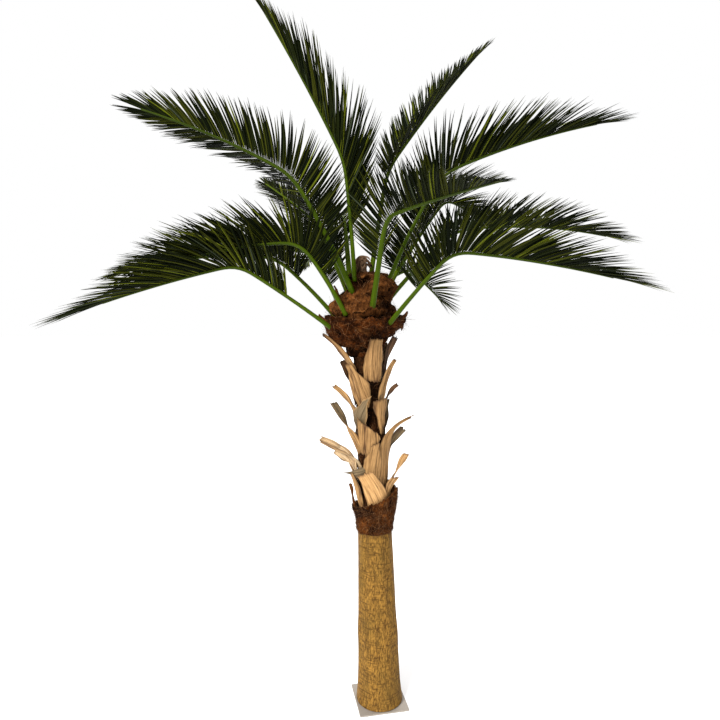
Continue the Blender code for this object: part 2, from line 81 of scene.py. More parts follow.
def new_finish(name, roughness, **sockets):
    """A material, its tree and its shader, with the shader's plain numbers set."""
    made = bpy.data.materials.new(name)
    made.use_nodes = True
    shader = made.node_tree.nodes["Principled BSDF"]
    shader.inputs["Roughness"].default_value = roughness
    for key, value in sockets.items():
        shader.inputs[key.replace("_", " ")].default_value = value
    return made, made.node_tree, shader


def object_place(tree):
    """The socket that holds a point's place on the palm."""
    return add_node(tree, "ShaderNodeTexCoord").outputs["Object"]


def speckle(tree, place, stretch, detail=5.0, rough=0.6):
    """Noise with so many features per metre along each axis."""
    spread = add_node(tree, "ShaderNodeMapping", {"Vector": place, "Scale": stretch})
    return add_node(tree, "ShaderNodeTexNoise", {
        "Vector": spread.outputs["Vector"], "Scale": 1.0,
        "Detail": detail, "Roughness": rough}).outputs["Fac"]


def colours_by(tree, amount, *stops):
    """Colours read from (share, colour) stops by an amount."""
    node = add_node(tree, "ShaderNodeValToRGB", {"Fac": amount})
    ramp = node.color_ramp
    while len(ramp.elements) < len(stops):
        ramp.elements.new(0.5)
    for element, (share, colour) in zip(ramp.elements, stops):
        element.position = share
        element.color = (*colour, 1.0)
    return node.outputs["Color"]


def mixed(tree, amount, first, second, way="MIX"):
    """Two colours mixed by an amount, each a socket or a plain colour."""
    first, second = [value if isinstance(value, bpy.types.NodeSocket) else (*value, 1.0)
                     for value in (first, second)]
    return add_node(tree, "ShaderNodeMix", {0: amount, 6: first, 7: second},
                    data_type="RGBA", blend_type=way).outputs[2]


def laid_over(tree, under, over, amount, start, full, most):
    """One colour laid over another, from where an amount is at start to where it is full."""
    stops = sorted([(start, (0.0, 0.0, 0.0)), (full, (most, most, most))])
    return mixed(tree, colours_by(tree, amount, *stops), under, over)


def raised(tree, shader, height, distance):
    """Fine relief on the shader from a height that runs from 0 to 1."""
    bump = add_node(tree, "ShaderNodeBump", {
        "Height": height, "Distance": distance, "Strength": 1.0})
    tree.links.new(bump.outputs["Normal"], shader.inputs["Normal"])


def new_piece(name, mesh, finishes, nodes):
    """Puts a finished mesh on the palm's one body, in place of its CAD nodes."""
    made = bpy.data.objects.new(name, mesh)
    bpy.context.scene.collection.objects.link(made)
    for finish in finishes:
        mesh.materials.append(finish)
    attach(made, "root")
    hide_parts(*nodes)
    return made


plate_low, plate_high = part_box("base_plate")
plate_thick = plate_high.z - plate_low.z
plate_side = (plate_high.x - plate_low.x) / (math.cos(PLATE_TURN) + math.sin(PLATE_TURN))
plate = bmesh.new()
bmesh.ops.create_cube(plate, size=1.0, matrix=(
    Matrix.Rotation(PLATE_TURN, 4, "Z") @ Matrix.Translation((0, 0, plate_thick / 2))
    @ Matrix.Diagonal((plate_side, plate_side, plate_thick, 1))))
upright = [e for e in plate.edges if abs(e.verts[0].co.z - e.verts[1].co.z) > plate_thick / 2]
bmesh.ops.bevel(plate, geom=upright, offset=PLATE_CORNER, segments=4, affect="EDGES", profile=0.5)
round_faces = [e for e in plate.edges if e.calc_face_angle(0.0) > math.radians(60)]
bmesh.ops.bevel(plate, geom=round_faces, offset=PLATE_EDGE, segments=2, affect="EDGES", profile=0.5)
plate_mesh = bpy.data.meshes.new("base_plate_painted")
plate.to_mesh(plate_mesh)
plate.free()

plate_paint, tree, shader = new_finish("plate_paint", roughness=0.52)
place = object_place(tree)
scuffs = speckle(tree, place, (60, 9, 60), 6.0)
mottle = speckle(tree, place, (14, 14, 14), 4.0)
painted = mixed(tree, mottle, PLATE_PAINT, PLATE_WORN)
shine = colours_by(tree, scuffs, (0.38, PLATE_DULL), (0.62, (1.0, 1.0, 1.0)))
tree.links.new(shine, shader.inputs["Specular Tint"])
tree.links.new(painted, shader.inputs["Base Color"])
raised(tree, shader, scuffs, 0.0004)
new_piece("base_plate_painted", plate_mesh, [plate_paint], ["base_plate"])

# --------------------------------------------------------------- moulded trunk
# The lower trunk is one hollow moulding with the grain and crackle of bark cast
# into it, brushed with brown and then rubbed with ochre.  It stands on the plate.
TRUNK_SEGMENTS = 300
TRUNK_ROWS = 310
TRUNK_FOOT_RADIUS = 0.1255
TRUNK_TOP_RADIUS = 0.0905
TRUNK_SPIGOT = 0.018         # it reaches up inside the cuff
TRUNK_FOOT_ROUND = 0.010
FOOT_ROUND_STEPS = 5
SPIGOT_BEVEL = 0.004
TRUNK_TAPER_FROM = 0.955     # share of the foot's radius with which the taper starts
BELLY_OUT = 0.0035
BELLY_HEIGHT = 0.40
BELLY_SPREAD = 0.07
FLARE_SHARE = 0.045          # share of the foot's radius
FLARE_HEIGHT = 0.09
FOOT_SPREAD = 0.0045         # the foot spreads a little all round, and more in front
FOOT_FRONT_SPREAD = 0.0060
FOOT_SPREAD_HEIGHT = 0.08
TRUNK_FLUTES = 9             # broad soft flutes round the trunk
FLUTE_DEPTH = 0.0016
GRAIN_DEPTH = 0.0008
CRACK_DEPTH = 0.0022
BARK_SET_IN = 0.0008         # the skin is set in so that the grain's ridges stay in size
OCHRE = (0.165, 0.083, 0.0155)
GOLD = (0.285, 0.145, 0.026)
BARK_BROWN = (0.045, 0.021, 0.0050)
BARK_OLIVE = (0.100, 0.058, 0.012)


def stem_axis(z):
    """Where the leaning stem's axis is at height z."""
    return Vector((-(0.024 * z + 0.0055 * z * z), 0.0, z))


def around(bearing, radius):
    """A level step of that length on that bearing, in radians."""
    return Vector((radius * math.cos(bearing), radius * math.sin(bearing), 0.0))


def closed_mesh(name, points, faces, **marks):
    """A closed mesh, its faces turned outwards and, but for end caps, shaded smooth.

    Each mark is kept as a point attribute of that name, with one number or three
    for every point.
    """
    mesh = bpy.data.meshes.new(name)
    mesh.from_pydata([tuple(point) for point in points], [], faces)
    for label, values in marks.items():
        if isinstance(values[0], float):
            mark = mesh.attributes.new(label, "FLOAT", "POINT")
            mark.data.foreach_set("value", values)
        else:
            mark = mesh.attributes.new(label, "FLOAT_VECTOR", "POINT")
            mark.data.foreach_set("vector", [x for value in values for x in value])
    body = bmesh.new()
    body.from_mesh(mesh)
    bmesh.ops.recalc_face_normals(body, faces=body.faces)
    for face in body.faces:
        face.smooth = len(face.verts) <= 4
    body.to_mesh(mesh)
    body.free()
    return mesh


def tube_mesh(name, rows, segments, relief, closed_loop=False):
    """A closed body turned about the leaning axis.

    rows are (radius, height), from pole to pole, or a closed loop of them.
    relief(bearing, radius, height) gives how far the skin is moved out and up;
    the point attribute "relief" keeps how far out, and the coir finishes paint shade and light by it.
    """
    points, moved_out, rings = [], [], []
    for radius, height in rows:
        count = segments if radius else 1
        rings.append(range(len(points), len(points) + count))
        for k in range(count):
            bearing = 2 * math.pi * k / segments
            out, up = relief(bearing, radius, height) if radius else (0.0, 0.0)
            points.append(stem_axis(height + up) + around(bearing, radius + out))
            moved_out.append(out)
    pairs = list(zip(rings, rings[1:]))
    if closed_loop:
        pairs.append((rings[-1], rings[0]))
    faces = []
    for low, high in pairs:
        for k in range(segments):
            j = (k + 1) % segments
            corners = (low[k % len(low)], low[j % len(low)], high[j % len(high)], high[k % len(high)])
            faces.append(tuple(dict.fromkeys(corners)))
    return closed_mesh(name, points, faces, relief=moved_out)


def rough_at(bearing, radius, height, across, along, shift=0.0):
    """Noise from -1 to 1 with so many features per metre across and along the stem."""
    return noise.noise(Vector((across * radius * math.cos(bearing) + shift,
                               across * radius * math.sin(bearing), along * height)))


trunk_low, trunk_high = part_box("trunk_shell")
trunk_foot, trunk_top = trunk_low.z, trunk_high.z


def trunk_radius(z):
    """Straight taper with a slight belly and a small flare at the foot."""
    rise = (z - trunk_foot) / (trunk_top - trunk_foot)
    start = TRUNK_TAPER_FROM * TRUNK_FOOT_RADIUS
    belly = BELLY_OUT * math.exp(-((z - BELLY_HEIGHT) / BELLY_SPREAD) ** 2)
    flare = FLARE_SHARE * TRUNK_FOOT_RADIUS * math.exp(-z / FLARE_HEIGHT)
    return start + (TRUNK_TOP_RADIUS - start) * rise + belly + flare


def bark_relief(bearing, radius, height):
    """Flutes, upright grain and short level cracks cast into the moulding."""
    wander = rough_at(bearing, 1.0, height, 1.2, 1.6)
    flutes = FLUTE_DEPTH * math.sin(TRUNK_FLUTES * bearing + 3.0 * wander)
    grain = GRAIN_DEPTH * (rough_at(bearing, radius, height, 95, 9, 4.0)
                           + 0.6 * rough_at(bearing, radius, height, 190, 24, 9.0))
    level = rough_at(bearing, radius, height, 22, 85, 2.0)
    cracked = max(0.0, rough_at(bearing, radius, height, 7, 4, 15.0) + 0.15)
    cracks = CRACK_DEPTH * cracked * max(0.0, level - 0.12)
    fade = min(1.0, (height - trunk_foot) / (2 * TRUNK_FOOT_ROUND))
    spread = FOOT_SPREAD + FOOT_FRONT_SPREAD * max(0.0, -math.sin(bearing))
    spread *= math.exp(-height / FOOT_SPREAD_HEIGHT) * min(1.0, radius / TRUNK_TOP_RADIUS)
    return (flutes + grain - cracks) * fade + spread - BARK_SET_IN, 0.0


trunk_rows = [(0.0, trunk_foot), (0.5 * TRUNK_FOOT_RADIUS, trunk_foot)]
for step in range(FOOT_ROUND_STEPS):
    turn = math.pi / 2 * step / FOOT_ROUND_STEPS
    trunk_rows.append((trunk_radius(trunk_foot) - TRUNK_FOOT_ROUND * (1 - math.sin(turn)),
                       trunk_foot + TRUNK_FOOT_ROUND * (1 - math.cos(turn))))
first_row = trunk_foot + TRUNK_FOOT_ROUND
spigot_top = trunk_top + TRUNK_SPIGOT
for step in range(TRUNK_ROWS):
    height = first_row + (spigot_top - SPIGOT_BEVEL / 2 - first_row) * step / (TRUNK_ROWS - 1)
    trunk_rows.append((trunk_radius(height), height))
trunk_rows += [(TRUNK_TOP_RADIUS - SPIGOT_BEVEL, spigot_top), (0.0, spigot_top)]
trunk_mesh = tube_mesh("trunk_moulding", trunk_rows, TRUNK_SEGMENTS, bark_relief)

trunk_paint, tree, shader = new_finish("moulded_trunk", roughness=0.7, Specular_IOR_Level=0.06)
place = object_place(tree)
fine_grain = speckle(tree, place, (165, 165, 44), 5.0, 0.72)
broad_grain = speckle(tree, place, (70, 70, 7), 4.0)
level_lines = speckle(tree, place, (16, 16, 135), 4.0, 0.6)
clouds = speckle(tree, place, (9, 9, 4), 3.0)
rubbed = colours_by(tree, fine_grain, (0.38, BARK_BROWN), (0.50, OCHRE), (0.62, GOLD))
olive = laid_over(tree, rubbed, BARK_OLIVE, clouds, 0.42, 0.66, 0.55)
streaked = laid_over(tree, olive, BARK_BROWN, broad_grain, 0.50, 0.30, 0.75)
lined = laid_over(tree, streaked, BARK_BROWN, level_lines, 0.55, 0.63, 0.65)
tree.links.new(lined, shader.inputs["Base Color"])
raised(tree, shader, fine_grain, 0.0022)
new_piece("trunk_moulding", trunk_mesh, [trunk_paint], ["trunk_shell"])

# ------------------------------------------------------------ coir-wrapped core
# Above the moulding the stem is a post wound with coir matting, stitched on with
# its fibres upright.  It is dark and shows only between the boots and at the neck.
CORE_RADIUS = 0.078
CORE_SEGMENTS = 150
CORE_ROWS = 230
COIR_BLACK = (0.008, 0.004, 0.002)
COIR_DARK = (0.030, 0.013, 0.005)
COIR_RED = (0.085, 0.036, 0.013)


def coir_finish(name, dark, middle, light, upright, painted_shade_depth=0.004):
    """Matted coconut fibre, dull and streaked along its fibres, with painted shade in its hollows and
    painted light on its lumps.

    The three shades are those of its fibres.  The last argument is how far in the skin is
    moved where the painted shade is darkest.
    """
    made, tree, shader = new_finish(name, roughness=0.92, Specular_IOR_Level=0.02)
    place = object_place(tree)
    along, cross = (14, 110) if upright else (120, 120)
    strands = speckle(tree, place, (cross, cross, along), 6.0, 0.72)
    tangle = speckle(tree, place, (42, 42, 60), 5.0, 0.65)
    patches = speckle(tree, place, (11, 11, 13), 3.0)
    woven = mixed(tree, 0.5, strands, tangle)
    matted = colours_by(tree, woven, (0.38, dark), (0.50, middle), (0.63, light))
    shade = colours_by(tree, patches, (0.36, (0.40, 0.36, 0.34)), (0.64, (1.25, 1.15, 1.05)))
    relief = add_node(tree, "ShaderNodeAttribute", attribute_name="relief").outputs["Fac"]
    level = add_node(tree, "ShaderNodeMapRange", {
        "Value": relief, "From Min": -painted_shade_depth, "From Max": painted_shade_depth}).outputs["Result"]
    # painted shade where the matting is moved in, painted light where it stands out
    hollow = colours_by(tree, level, (0.0, (0.14, 0.12, 0.10)), (0.55, (0.85, 0.82, 0.80)),
                        (1.0, (1.35, 1.30, 1.25)))
    shaded = mixed(tree, 1.0, matted, shade, "MULTIPLY")
    tree.links.new(mixed(tree, 1.0, shaded, hollow, "MULTIPLY"), shader.inputs["Base Color"])
    raised(tree, shader, woven, 0.008)
    return made


coir_dark = coir_finish("coir_dark", COIR_BLACK, COIR_DARK, COIR_RED, upright=True)


def winding_relief(bearing, radius, height):
    """Upright ridges of matting with loose patches."""
    ridges = rough_at(bearing, radius, height, 75, 7, 3.0)
    patches = rough_at(bearing, radius, height, 18, 9, 8.0)
    return 0.0016 * ridges + 0.0022 * patches - 0.0022, 0.0


core_low, core_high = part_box("trunk_core")
core_rows = [(0.0, core_low.z)]
for step in range(CORE_ROWS):
    core_rows.append((CORE_RADIUS, core_low.z + (core_high.z - core_low.z) * step / (CORE_ROWS - 1)))
core_rows.append((0.0, core_high.z))
core_mesh = tube_mesh("core_winding", core_rows, CORE_SEGMENTS, winding_relief)
new_piece("core_winding", core_mesh, [coir_dark], ["trunk_core"])

# -------------------------------------------------------------------- coir cuff
# A strip of coir matting is glued round the joint of moulding and core.  Its hem
# laps over the moulding, and its rim is teased out round the feet of the boots.
CUFF_RIM = 1.165
CUFF_RIM_WAVE = 0.052        # the rim is high on the right, low on the left
CUFF_FLARE_FROM = 1.04       # below this height the cuff fits close and level
CUFF_DRAWN_IN = 0.013        # on the left its rim is drawn in towards the core
CUFF_RIM_RADIUS = 0.13
CUFF_SEGMENTS = 260
MATTING_ROW = 0.004          # spacing of the rows of points in matting
CUFF_OUTSIDE = ((0.0925, 0.977), (0.0965, 0.979), (0.0995, 0.990), (0.1025, 1.02), (0.108, 1.06),
                (0.117, 1.10), (0.126, 1.135), (0.131, 1.158), (0.129, 1.165))
CUFF_INSIDE = ((0.120, 1.166), (0.110, 1.155), (0.101, 1.140), (0.088, 1.120),
               (0.0795, 1.100), (0.0795, 0.9930), (0.0915, 0.9925), (0.0920, 0.978))
CUFF_SHADES = ((0.019, 0.0060, 0.0012), (0.070, 0.0235, 0.0048), (0.165, 0.060, 0.0135))
KNOT_BEARING = math.radians(222)     # a knot of matting at the hem
KNOT_HEIGHT = 0.992
KNOT_OUT = 0.009


def rows_between(corners, spacing):
    """Rows of (radius, height) along a chain of corners, so far apart."""
    rows = []
    for (r0, z0), (r1, z1) in zip(corners, corners[1:]):
        steps = max(1, round(math.hypot(r1 - r0, z1 - z0) / spacing))
        rows += [(r0 + (r1 - r0) * k / steps, z0 + (z1 - z0) * k / steps) for k in range(steps)]
    return rows + [corners[-1]]


cuff_outer = rows_between(CUFF_OUTSIDE, MATTING_ROW)
cuff_inner = rows_between(CUFF_INSIDE, 2 * MATTING_ROW)
smooth_rows = {CUFF_OUTSIDE[0], *cuff_inner}


def cuff_relief(bearing, radius, height):
    """Matted lumps outside, a knot at the hem, and a rim that waves and frays."""
    share = min(max((height - CUFF_FLARE_FROM) / (CUFF_RIM - CUFF_FLARE_FROM), 0.0), 1.0)
    fray = (0.016 * rough_at(bearing, CUFF_RIM_RADIUS, 0.0, 34, 1, 5.0)
            + 0.014 * rough_at(bearing, CUFF_RIM_RADIUS, 0.0, 120, 1, 1.0))
    up = share * share * (CUFF_RIM_WAVE * math.cos(bearing) - 0.014 + fray)
    drawn_in = -CUFF_DRAWN_IN * share * max(0.0, -math.cos(bearing))
    if (radius, height) in smooth_rows:
        return drawn_in, up
    knot = KNOT_OUT * math.exp(-((bearing - KNOT_BEARING) / 0.16) ** 2
                               - ((height - KNOT_HEIGHT) / 0.014) ** 2)
    lumps = 0.0055 * rough_at(bearing, radius, height, 16, 14, 2.0)
    fibres = 0.0030 * rough_at(bearing, radius, height, 70, 40, 7.0)
    hem = 0.004 * rough_at(bearing, radius, 0.0, 30, 1, 3.0) if height < 0.995 else 0.0
    return lumps + fibres + knot + drawn_in, up + hem


cuff_mesh = tube_mesh("coir_cuff_matting", cuff_outer + cuff_inner, CUFF_SEGMENTS, cuff_relief,
                      closed_loop=True)
coir_cuff = coir_finish("coir_cuff", *CUFF_SHADES, upright=False)
new_piece("coir_cuff_matting", cuff_mesh, [coir_cuff], ["coir_cuff"])

# -------------------------------------------------------------- loose strands
# Coir sheds: single coconut fibres stand out of the matting all over the cuff,
# the core and, further up, the head.  A geometry tree strews them on the matting.
STRAND_RADIUS = 0.00055
STRAND_TAPER = 0.6           # share of its thickness that a strand loses by its tip
STRAND_STEPS = 5
STRAND_COLOURS = {           # colour, and the draw from 0 to 1 above which it is dealt
    "strand_dark": ((0.020, 0.008, 0.003), -1.0),
    "strand_red": ((0.080, 0.030, 0.009), 0.34),
    "strand_light": ((0.22, 0.105, 0.040), 0.82),
}


def number(tree, how, *values):
    """The result of one arithmetic step on numbers."""
    node = add_node(tree, "ShaderNodeMath", dict(enumerate(values)), operation=how)
    return node.outputs["Value"]


def arrow(tree, how, *values):
    """The result of one arithmetic step on vectors."""
    node = add_node(tree, "ShaderNodeVectorMath", dict(enumerate(values)), operation=how)
    return node.outputs["Value" if how == "DOT_PRODUCT" else "Vector"]


def scaled(tree, vector, length):
    """A vector made so many times as long."""
    return add_node(tree, "ShaderNodeVectorMath", {"Vector": vector, "Scale": length},
                    operation="SCALE").outputs["Vector"]


def triple(tree, x, y, z):
    """A vector put together from three numbers."""
    return add_node(tree, "ShaderNodeCombineXYZ", {"X": x, "Y": y, "Z": z}).outputs["Vector"]


def square_to(tree, vector, axis):
    """The direction of a vector with its share along a unit axis taken out."""
    along = scaled(tree, axis, arrow(tree, "DOT_PRODUCT", vector, axis))
    return arrow(tree, "NORMALIZE", arrow(tree, "SUBTRACT", vector, along))


def geometry_tree(name, inputs):
    """A new geometry tree with named inputs: {name: (socket kind, value)}."""
    tree = bpy.data.node_groups.new(name, "GeometryNodeTree")
    tree.interface.new_socket("Geometry", in_out="INPUT", socket_type="NodeSocketGeometry")
    for label, (kind, value) in inputs.items():
        socket = tree.interface.new_socket(label, in_out="INPUT", socket_type=kind)
        socket.default_value = value
    tree.interface.new_socket("Geometry", in_out="OUTPUT", socket_type="NodeSocketGeometry")
    return tree, tree.nodes.new("NodeGroupInput").outputs


def jitter(tree, low, high, draw):
    """A random number for each item, from low to high; each draw has its own seed."""
    seed = number(tree, "ADD", tree.nodes["Group Input"].outputs["Seed"], draw)
    return add_node(tree, "FunctionNodeRandomValue", {2: low, 3: high, "Seed": seed},
                    data_type="FLOAT").outputs[1]


def stored(tree, geometry, name, kind, value, domain="POINT"):
    """The geometry with a named attribute stored on it."""
    node = add_node(tree, "GeometryNodeStoreNamedAttribute", {"Geometry": geometry, "Name": name},
                    data_type=kind, domain=domain)
    tree.links.new(value, [s for s in node.inputs if s.name == "Value" and s.enabled][0])
    return node.outputs["Geometry"]


def named(tree, name, kind="FLOAT_VECTOR"):
    """The field that reads a named attribute."""
    node = add_node(tree, "GeometryNodeInputNamedAttribute", {"Name": name}, data_type=kind)
    return [s for s in node.outputs if s.name == "Attribute" and s.enabled][0]


def swept(tree, steps, section, girth):
    """A section swept along a metre of line; "reach" marks how far along a point is."""
    line = add_node(tree, "GeometryNodeCurvePrimitiveLine", {"End": (1.0, 0.0, 0.0)}).outputs["Curve"]
    line = add_node(tree, "GeometryNodeResampleCurve", {"Curve": line, "Count": steps}).outputs["Curve"]
    factor = add_node(tree, "GeometryNodeSplineParameter").outputs["Factor"]
    line = stored(tree, line, "reach", "FLOAT", factor)
    return add_node(tree, "GeometryNodeCurveToMesh", {
        "Curve": line, "Profile Curve": section.outputs["Curve"], "Scale": girth,
        "Fill Caps": True}).outputs["Mesh"]


def turned_to(tree, way, second, second_axis):
    """The turn that lays an item's X along a way and its second axis by another."""
    return add_node(tree, "FunctionNodeAxesToRotation", {"Primary Axis": way, "Secondary Axis": second},
                    primary_axis="X", secondary_axis=second_axis).outputs["Rotation"]


def plain_finishes(colours, roughness, gloss):
    """Plain materials, each with the draw above which it is dealt."""
    made = []
    for label, (colour, above) in colours.items():
        finish, _, shader = new_finish(label, roughness, Specular_IOR_Level=gloss)
        shader.inputs["Base Color"].default_value = (*colour, 1.0)
        made.append((finish, above))
    return made


def set_out(tree, points, item, turned, scale, bow, draw, finishes):
    """Sets an item on every point, bows it, deals it a finish, and ends the tree."""
    placed = add_node(tree, "GeometryNodeInstanceOnPoints", {
        "Points": points, "Instance": item, "Rotation": turned, "Scale": scale}).outputs["Instances"]
    placed = stored(tree, placed, "bow", "FLOAT_VECTOR", bow, "INSTANCE")
    placed = stored(tree, placed, "tint", "FLOAT", jitter(tree, 0.0, 1.0, draw), "INSTANCE")
    made = add_node(tree, "GeometryNodeRealizeInstances", {"Geometry": placed}).outputs["Geometry"]
    reach = named(tree, "reach", "FLOAT")
    bowed = scaled(tree, named(tree, "bow"), number(tree, "MULTIPLY", reach, reach))
    made = add_node(tree, "GeometryNodeSetPosition", {"Geometry": made, "Offset": bowed}
                    ).outputs["Geometry"]
    for finish, above in finishes:
        chosen = number(tree, "GREATER_THAN", named(tree, "tint", "FLOAT"), above)
        made = add_node(tree, "GeometryNodeSetMaterial", {
            "Geometry": made, "Selection": chosen, "Material": finish}).outputs["Geometry"]
    tree.links.new(made, tree.nodes.new("NodeGroupOutput").inputs["Geometry"])


def grown(name, base_mesh, tree, inputs):
    """The plain mesh that a geometry tree makes from a base mesh."""
    base = bpy.data.objects.new(name + "_base", base_mesh)
    bpy.context.scene.collection.objects.link(base)
    grower = base.modifiers.new("grow", "NODES")
    grower.node_group = tree
    for socket in tree.interface.items_tree:
        if socket.in_out == "INPUT" and socket.name in inputs:
            grower[socket.identifier] = inputs[socket.name]
    graph = bpy.context.evaluated_depsgraph_get()
    mesh = bpy.data.meshes.new_from_object(base.evaluated_get(graph))
    base.modifiers.remove(grower)
    bpy.data.objects.remove(base, do_unlink=True)
    mesh.name = name
    return mesh


strand_tree, asked = geometry_tree("strewn_strands", {
    "Density": ("NodeSocketFloat", 9000.0),
    "Length": ("NodeSocketFloat", 0.04),
    "Lift": ("NodeSocketFloat", 0.35),
    "Upright": ("NodeSocketFloat", 0.0),
    "Seed": ("NodeSocketInt", 1),
})
tree = strand_tree
strewn = add_node(tree, "GeometryNodeDistributePointsOnFaces", {
    "Mesh": asked["Geometry"], "Density": asked["Density"], "Seed": asked["Seed"]}).outputs
points = stored(tree, strewn["Points"], "facing", "FLOAT_VECTOR", strewn["Normal"])
facing = named(tree, "facing")
any_way = triple(tree, jitter(tree, -1.0, 1.0, 1), jitter(tree, -1.0, 1.0, 2),
                 number(tree, "ADD", jitter(tree, -1.0, 1.0, 3), asked["Upright"]))
lifted = scaled(tree, facing, jitter(tree, 0.0, asked["Lift"], 4))
way = arrow(tree, "NORMALIZE", arrow(tree, "ADD", square_to(tree, any_way, facing), lifted))
size = number(tree, "MULTIPLY", asked["Length"], jitter(tree, 0.35, 1.2, 5))
curl = triple(tree, jitter(tree, -0.4, 0.4, 6), jitter(tree, -0.4, 0.4, 7), jitter(tree, -0.5, 0.2, 8))
# one strand, a metre long, three-sided and pointed: it is scaled to each fibre
ring = add_node(tree, "GeometryNodeCurvePrimitiveCircle", {"Resolution": 3, "Radius": STRAND_RADIUS})
strand = swept(tree, STRAND_STEPS, ring, number(
    tree, "MULTIPLY_ADD", named(tree, "reach", "FLOAT"), -STRAND_TAPER, 1.0))
set_out(tree, points, strand, turned_to(tree, way, facing, "Z"), triple(tree, size, 1.0, 1.0),
        scaled(tree, curl, size), 9, plain_finishes(STRAND_COLOURS, roughness=0.8, gloss=0.15))

new_piece("cuff_strands", grown("cuff_strands", cuff_mesh, strand_tree, {
    "Density": 15000.0, "Length": 0.036, "Lift": 0.30, "Seed": 3}), [], ["coir_cuff"])
new_piece("core_strands", grown("core_strands", core_mesh, strand_tree, {
    "Density": 3600.0, "Length": 0.045, "Lift": 0.30, "Upright": 0.8, "Seed": 5}),
          [], ["trunk_core"])

# ------------------------------------------------------------------ dried boots
# Boots are the feet of cut palm fronds, dried until they curl: broad cupped
# blades, pleated lengthways, tan outside and grey inside.  Each is pinned to the
# core at its foot, and its sawn stub leans away and twists.

# Bearing, yaw (how far the bearing drifts up a boot) and twist are in degrees, and the
# rest is in metres; ply is how far a boot stands off the ones under it.
BOOT_KEYS = ("bearing", "foot", "rise", "foot_width", "wide", "top_width", "lean", "yaw",
             "twist", "ply")
BOOTS = {
    "boot_01": (210, 1.765, 0.272, 0.034, 0.066, 0.018, 0.158, -8, 50, 0.0),
    "boot_02": (286, 1.790, 0.228, 0.090, 0.106, 0.068, 0.040, 6, 0, 0.004),
    "boot_03": (243, 1.655, 0.228, 0.062, 0.134, 0.046, 0.042, -26, 10, 0.006),
    "boot_04": (318, 1.690, 0.215, 0.044, 0.056, 0.024, 0.062, 22, -30, 0.002),
    "boot_05": (204, 1.590, 0.176, 0.040, 0.050, 0.024, 0.105, -16, 55, 0.002),
    "boot_06": (352, 1.665, 0.105, 0.028, 0.036, 0.020, 0.070, 5, -80, 0.0),
    "boot_07": (222, 1.405, 0.272, 0.056, 0.066, 0.040, 0.110, -30, -80, 0.006),
    "boot_08": (314, 1.515, 0.190, 0.020, 0.050, 0.074, 0.032, -18, 0, 0.004),
    "boot_09": (257, 1.395, 0.172, 0.036, 0.116, 0.110, 0.026, 6, 0, 0.012),
    "boot_10": (210, 1.315, 0.165, 0.046, 0.068, 0.044, 0.190, -24, -80, 0.004),
    "boot_11": (190, 1.250, 0.182, 0.030, 0.090, 0.060, 0.112, 0, 80, 0.0),
    "boot_12": (316, 1.240, 0.385, 0.050, 0.096, 0.024, 0.160, 10, -24, 0.004),
    "boot_13": (356, 1.360, 0.175, 0.032, 0.048, 0.036, 0.092, 0, 60, 0.0),
    "boot_14": (350, 1.215, 0.200, 0.036, 0.046, 0.034, 0.112, -12, -60, 0.0),
    "boot_15": (262, 1.270, 0.205, 0.086, 0.098, 0.040, 0.024, 18, 0, 0.006),
    "boot_16": (303, 1.076, 0.246, 0.086, 0.124, 0.080, 0.046, -52, 0, 0.016),
    "boot_17": (210, 1.110, 0.200, 0.034, 0.064, 0.044, 0.040, -4, 0, 0.004),
    "boot_18": (335, 1.150, 0.135, 0.054, 0.080, 0.064, 0.050, 0, -20, 0.0),
    "boot_19": (41, 1.785, 0.20, 0.040, 0.094, 0.036, 0.060, 8, 25, 0.004),
    "boot_20": (110, 1.740, 0.22, 0.050, 0.116, 0.044, 0.040, -6, -15, 0.004),
    "boot_21": (178, 1.660, 0.235, 0.050, 0.066, 0.048, 0.050, 0, -60, 0.0),
    "boot_22": (75, 1.540, 0.24, 0.044, 0.116, 0.036, 0.050, 6, -20, 0.006),
    "boot_23": (48, 1.470, 0.20, 0.038, 0.082, 0.034, 0.080, 6, 35, 0.004),
    "boot_24": (125, 1.360, 0.24, 0.046, 0.112, 0.038, 0.050, -6, 20, 0.006),
    "boot_25": (60, 1.240, 0.24, 0.046, 0.112, 0.038, 0.050, 4, -25, 0.006),
    "boot_26": (160, 1.150, 0.20, 0.042, 0.094, 0.040, 0.050, 0, 30, 0.004),
    "boot_27": (104, 1.090, 0.20, 0.044, 0.110, 0.042, 0.040, 0, -15, 0.008),
    "boot_28": (44, 1.110, 0.12, 0.040, 0.076, 0.040, 0.030, 0, 20, 0.004),
    "boot_29": (212, 1.530, 0.190, 0.104, 0.092, 0.024, 0.044, 52, 0, 0.018),
}
FOLDED_STUB = (252, 1.322, -0.022, 0.040, 0.040, 0.026, 0.085, -66, -75, 0.020)
NECK_STUB = (346, 1.795, 0.225, 0.030, 0.050, 0.036, 0.068, 0, -50, 0.0)
PLAIN_HABIT = (2.2, 1.0, 0.0)    # how late a boot leaves the core, pleats, slant of its cut
BOOT_HABITS = {
    "boot_07": (1.5, 1.0, 0.0), "boot_09": (2.2, 1.1, -0.26), "boot_12": (5.0, 0.7, 0.0),
    "boot_14": (1.2, 0.6, 0.0), "boot_15": (2.2, 0.5, 0.06), "boot_16": (2.2, 0.1, 0.0),
    "boot_29": (2.2, 0.6, 0.10),
}
GREY_FACED = ("boot_29",)
DARK_BOOTS = ("boot_06", "boot_21")
LIGHT_BOOTS = ("boot_14", "boot_16", "boot_18")
BLEACHED_BOOTS = ("boot_10", "boot_11")
BOOT_HUG = CORE_RADIUS + 0.0006  # a foot's inner face lies against the core
BOOT_THICK = 0.0055
BOOT_RIB_DEPTH = 0.0012
BOOT_PLEAT_DEPTH = 0.0050
BOOT_PLEAT_WIDTH = 0.05
BOOT_EDGE_CURL = 0.006
FOOT_RAGGED = 0.060          # how uneven its ends are, as shares of its rise
CUT_RAGGED = 0.040
SIDE_RAGGED = 0.16           # how uneven its sides are, as a share of its width
BOOT_ROWS, BOOT_COLUMNS = 44, 40
BOOT_PALE = (0.375, 0.212, 0.080)
BOOT_TAN = (0.205, 0.108, 0.036)
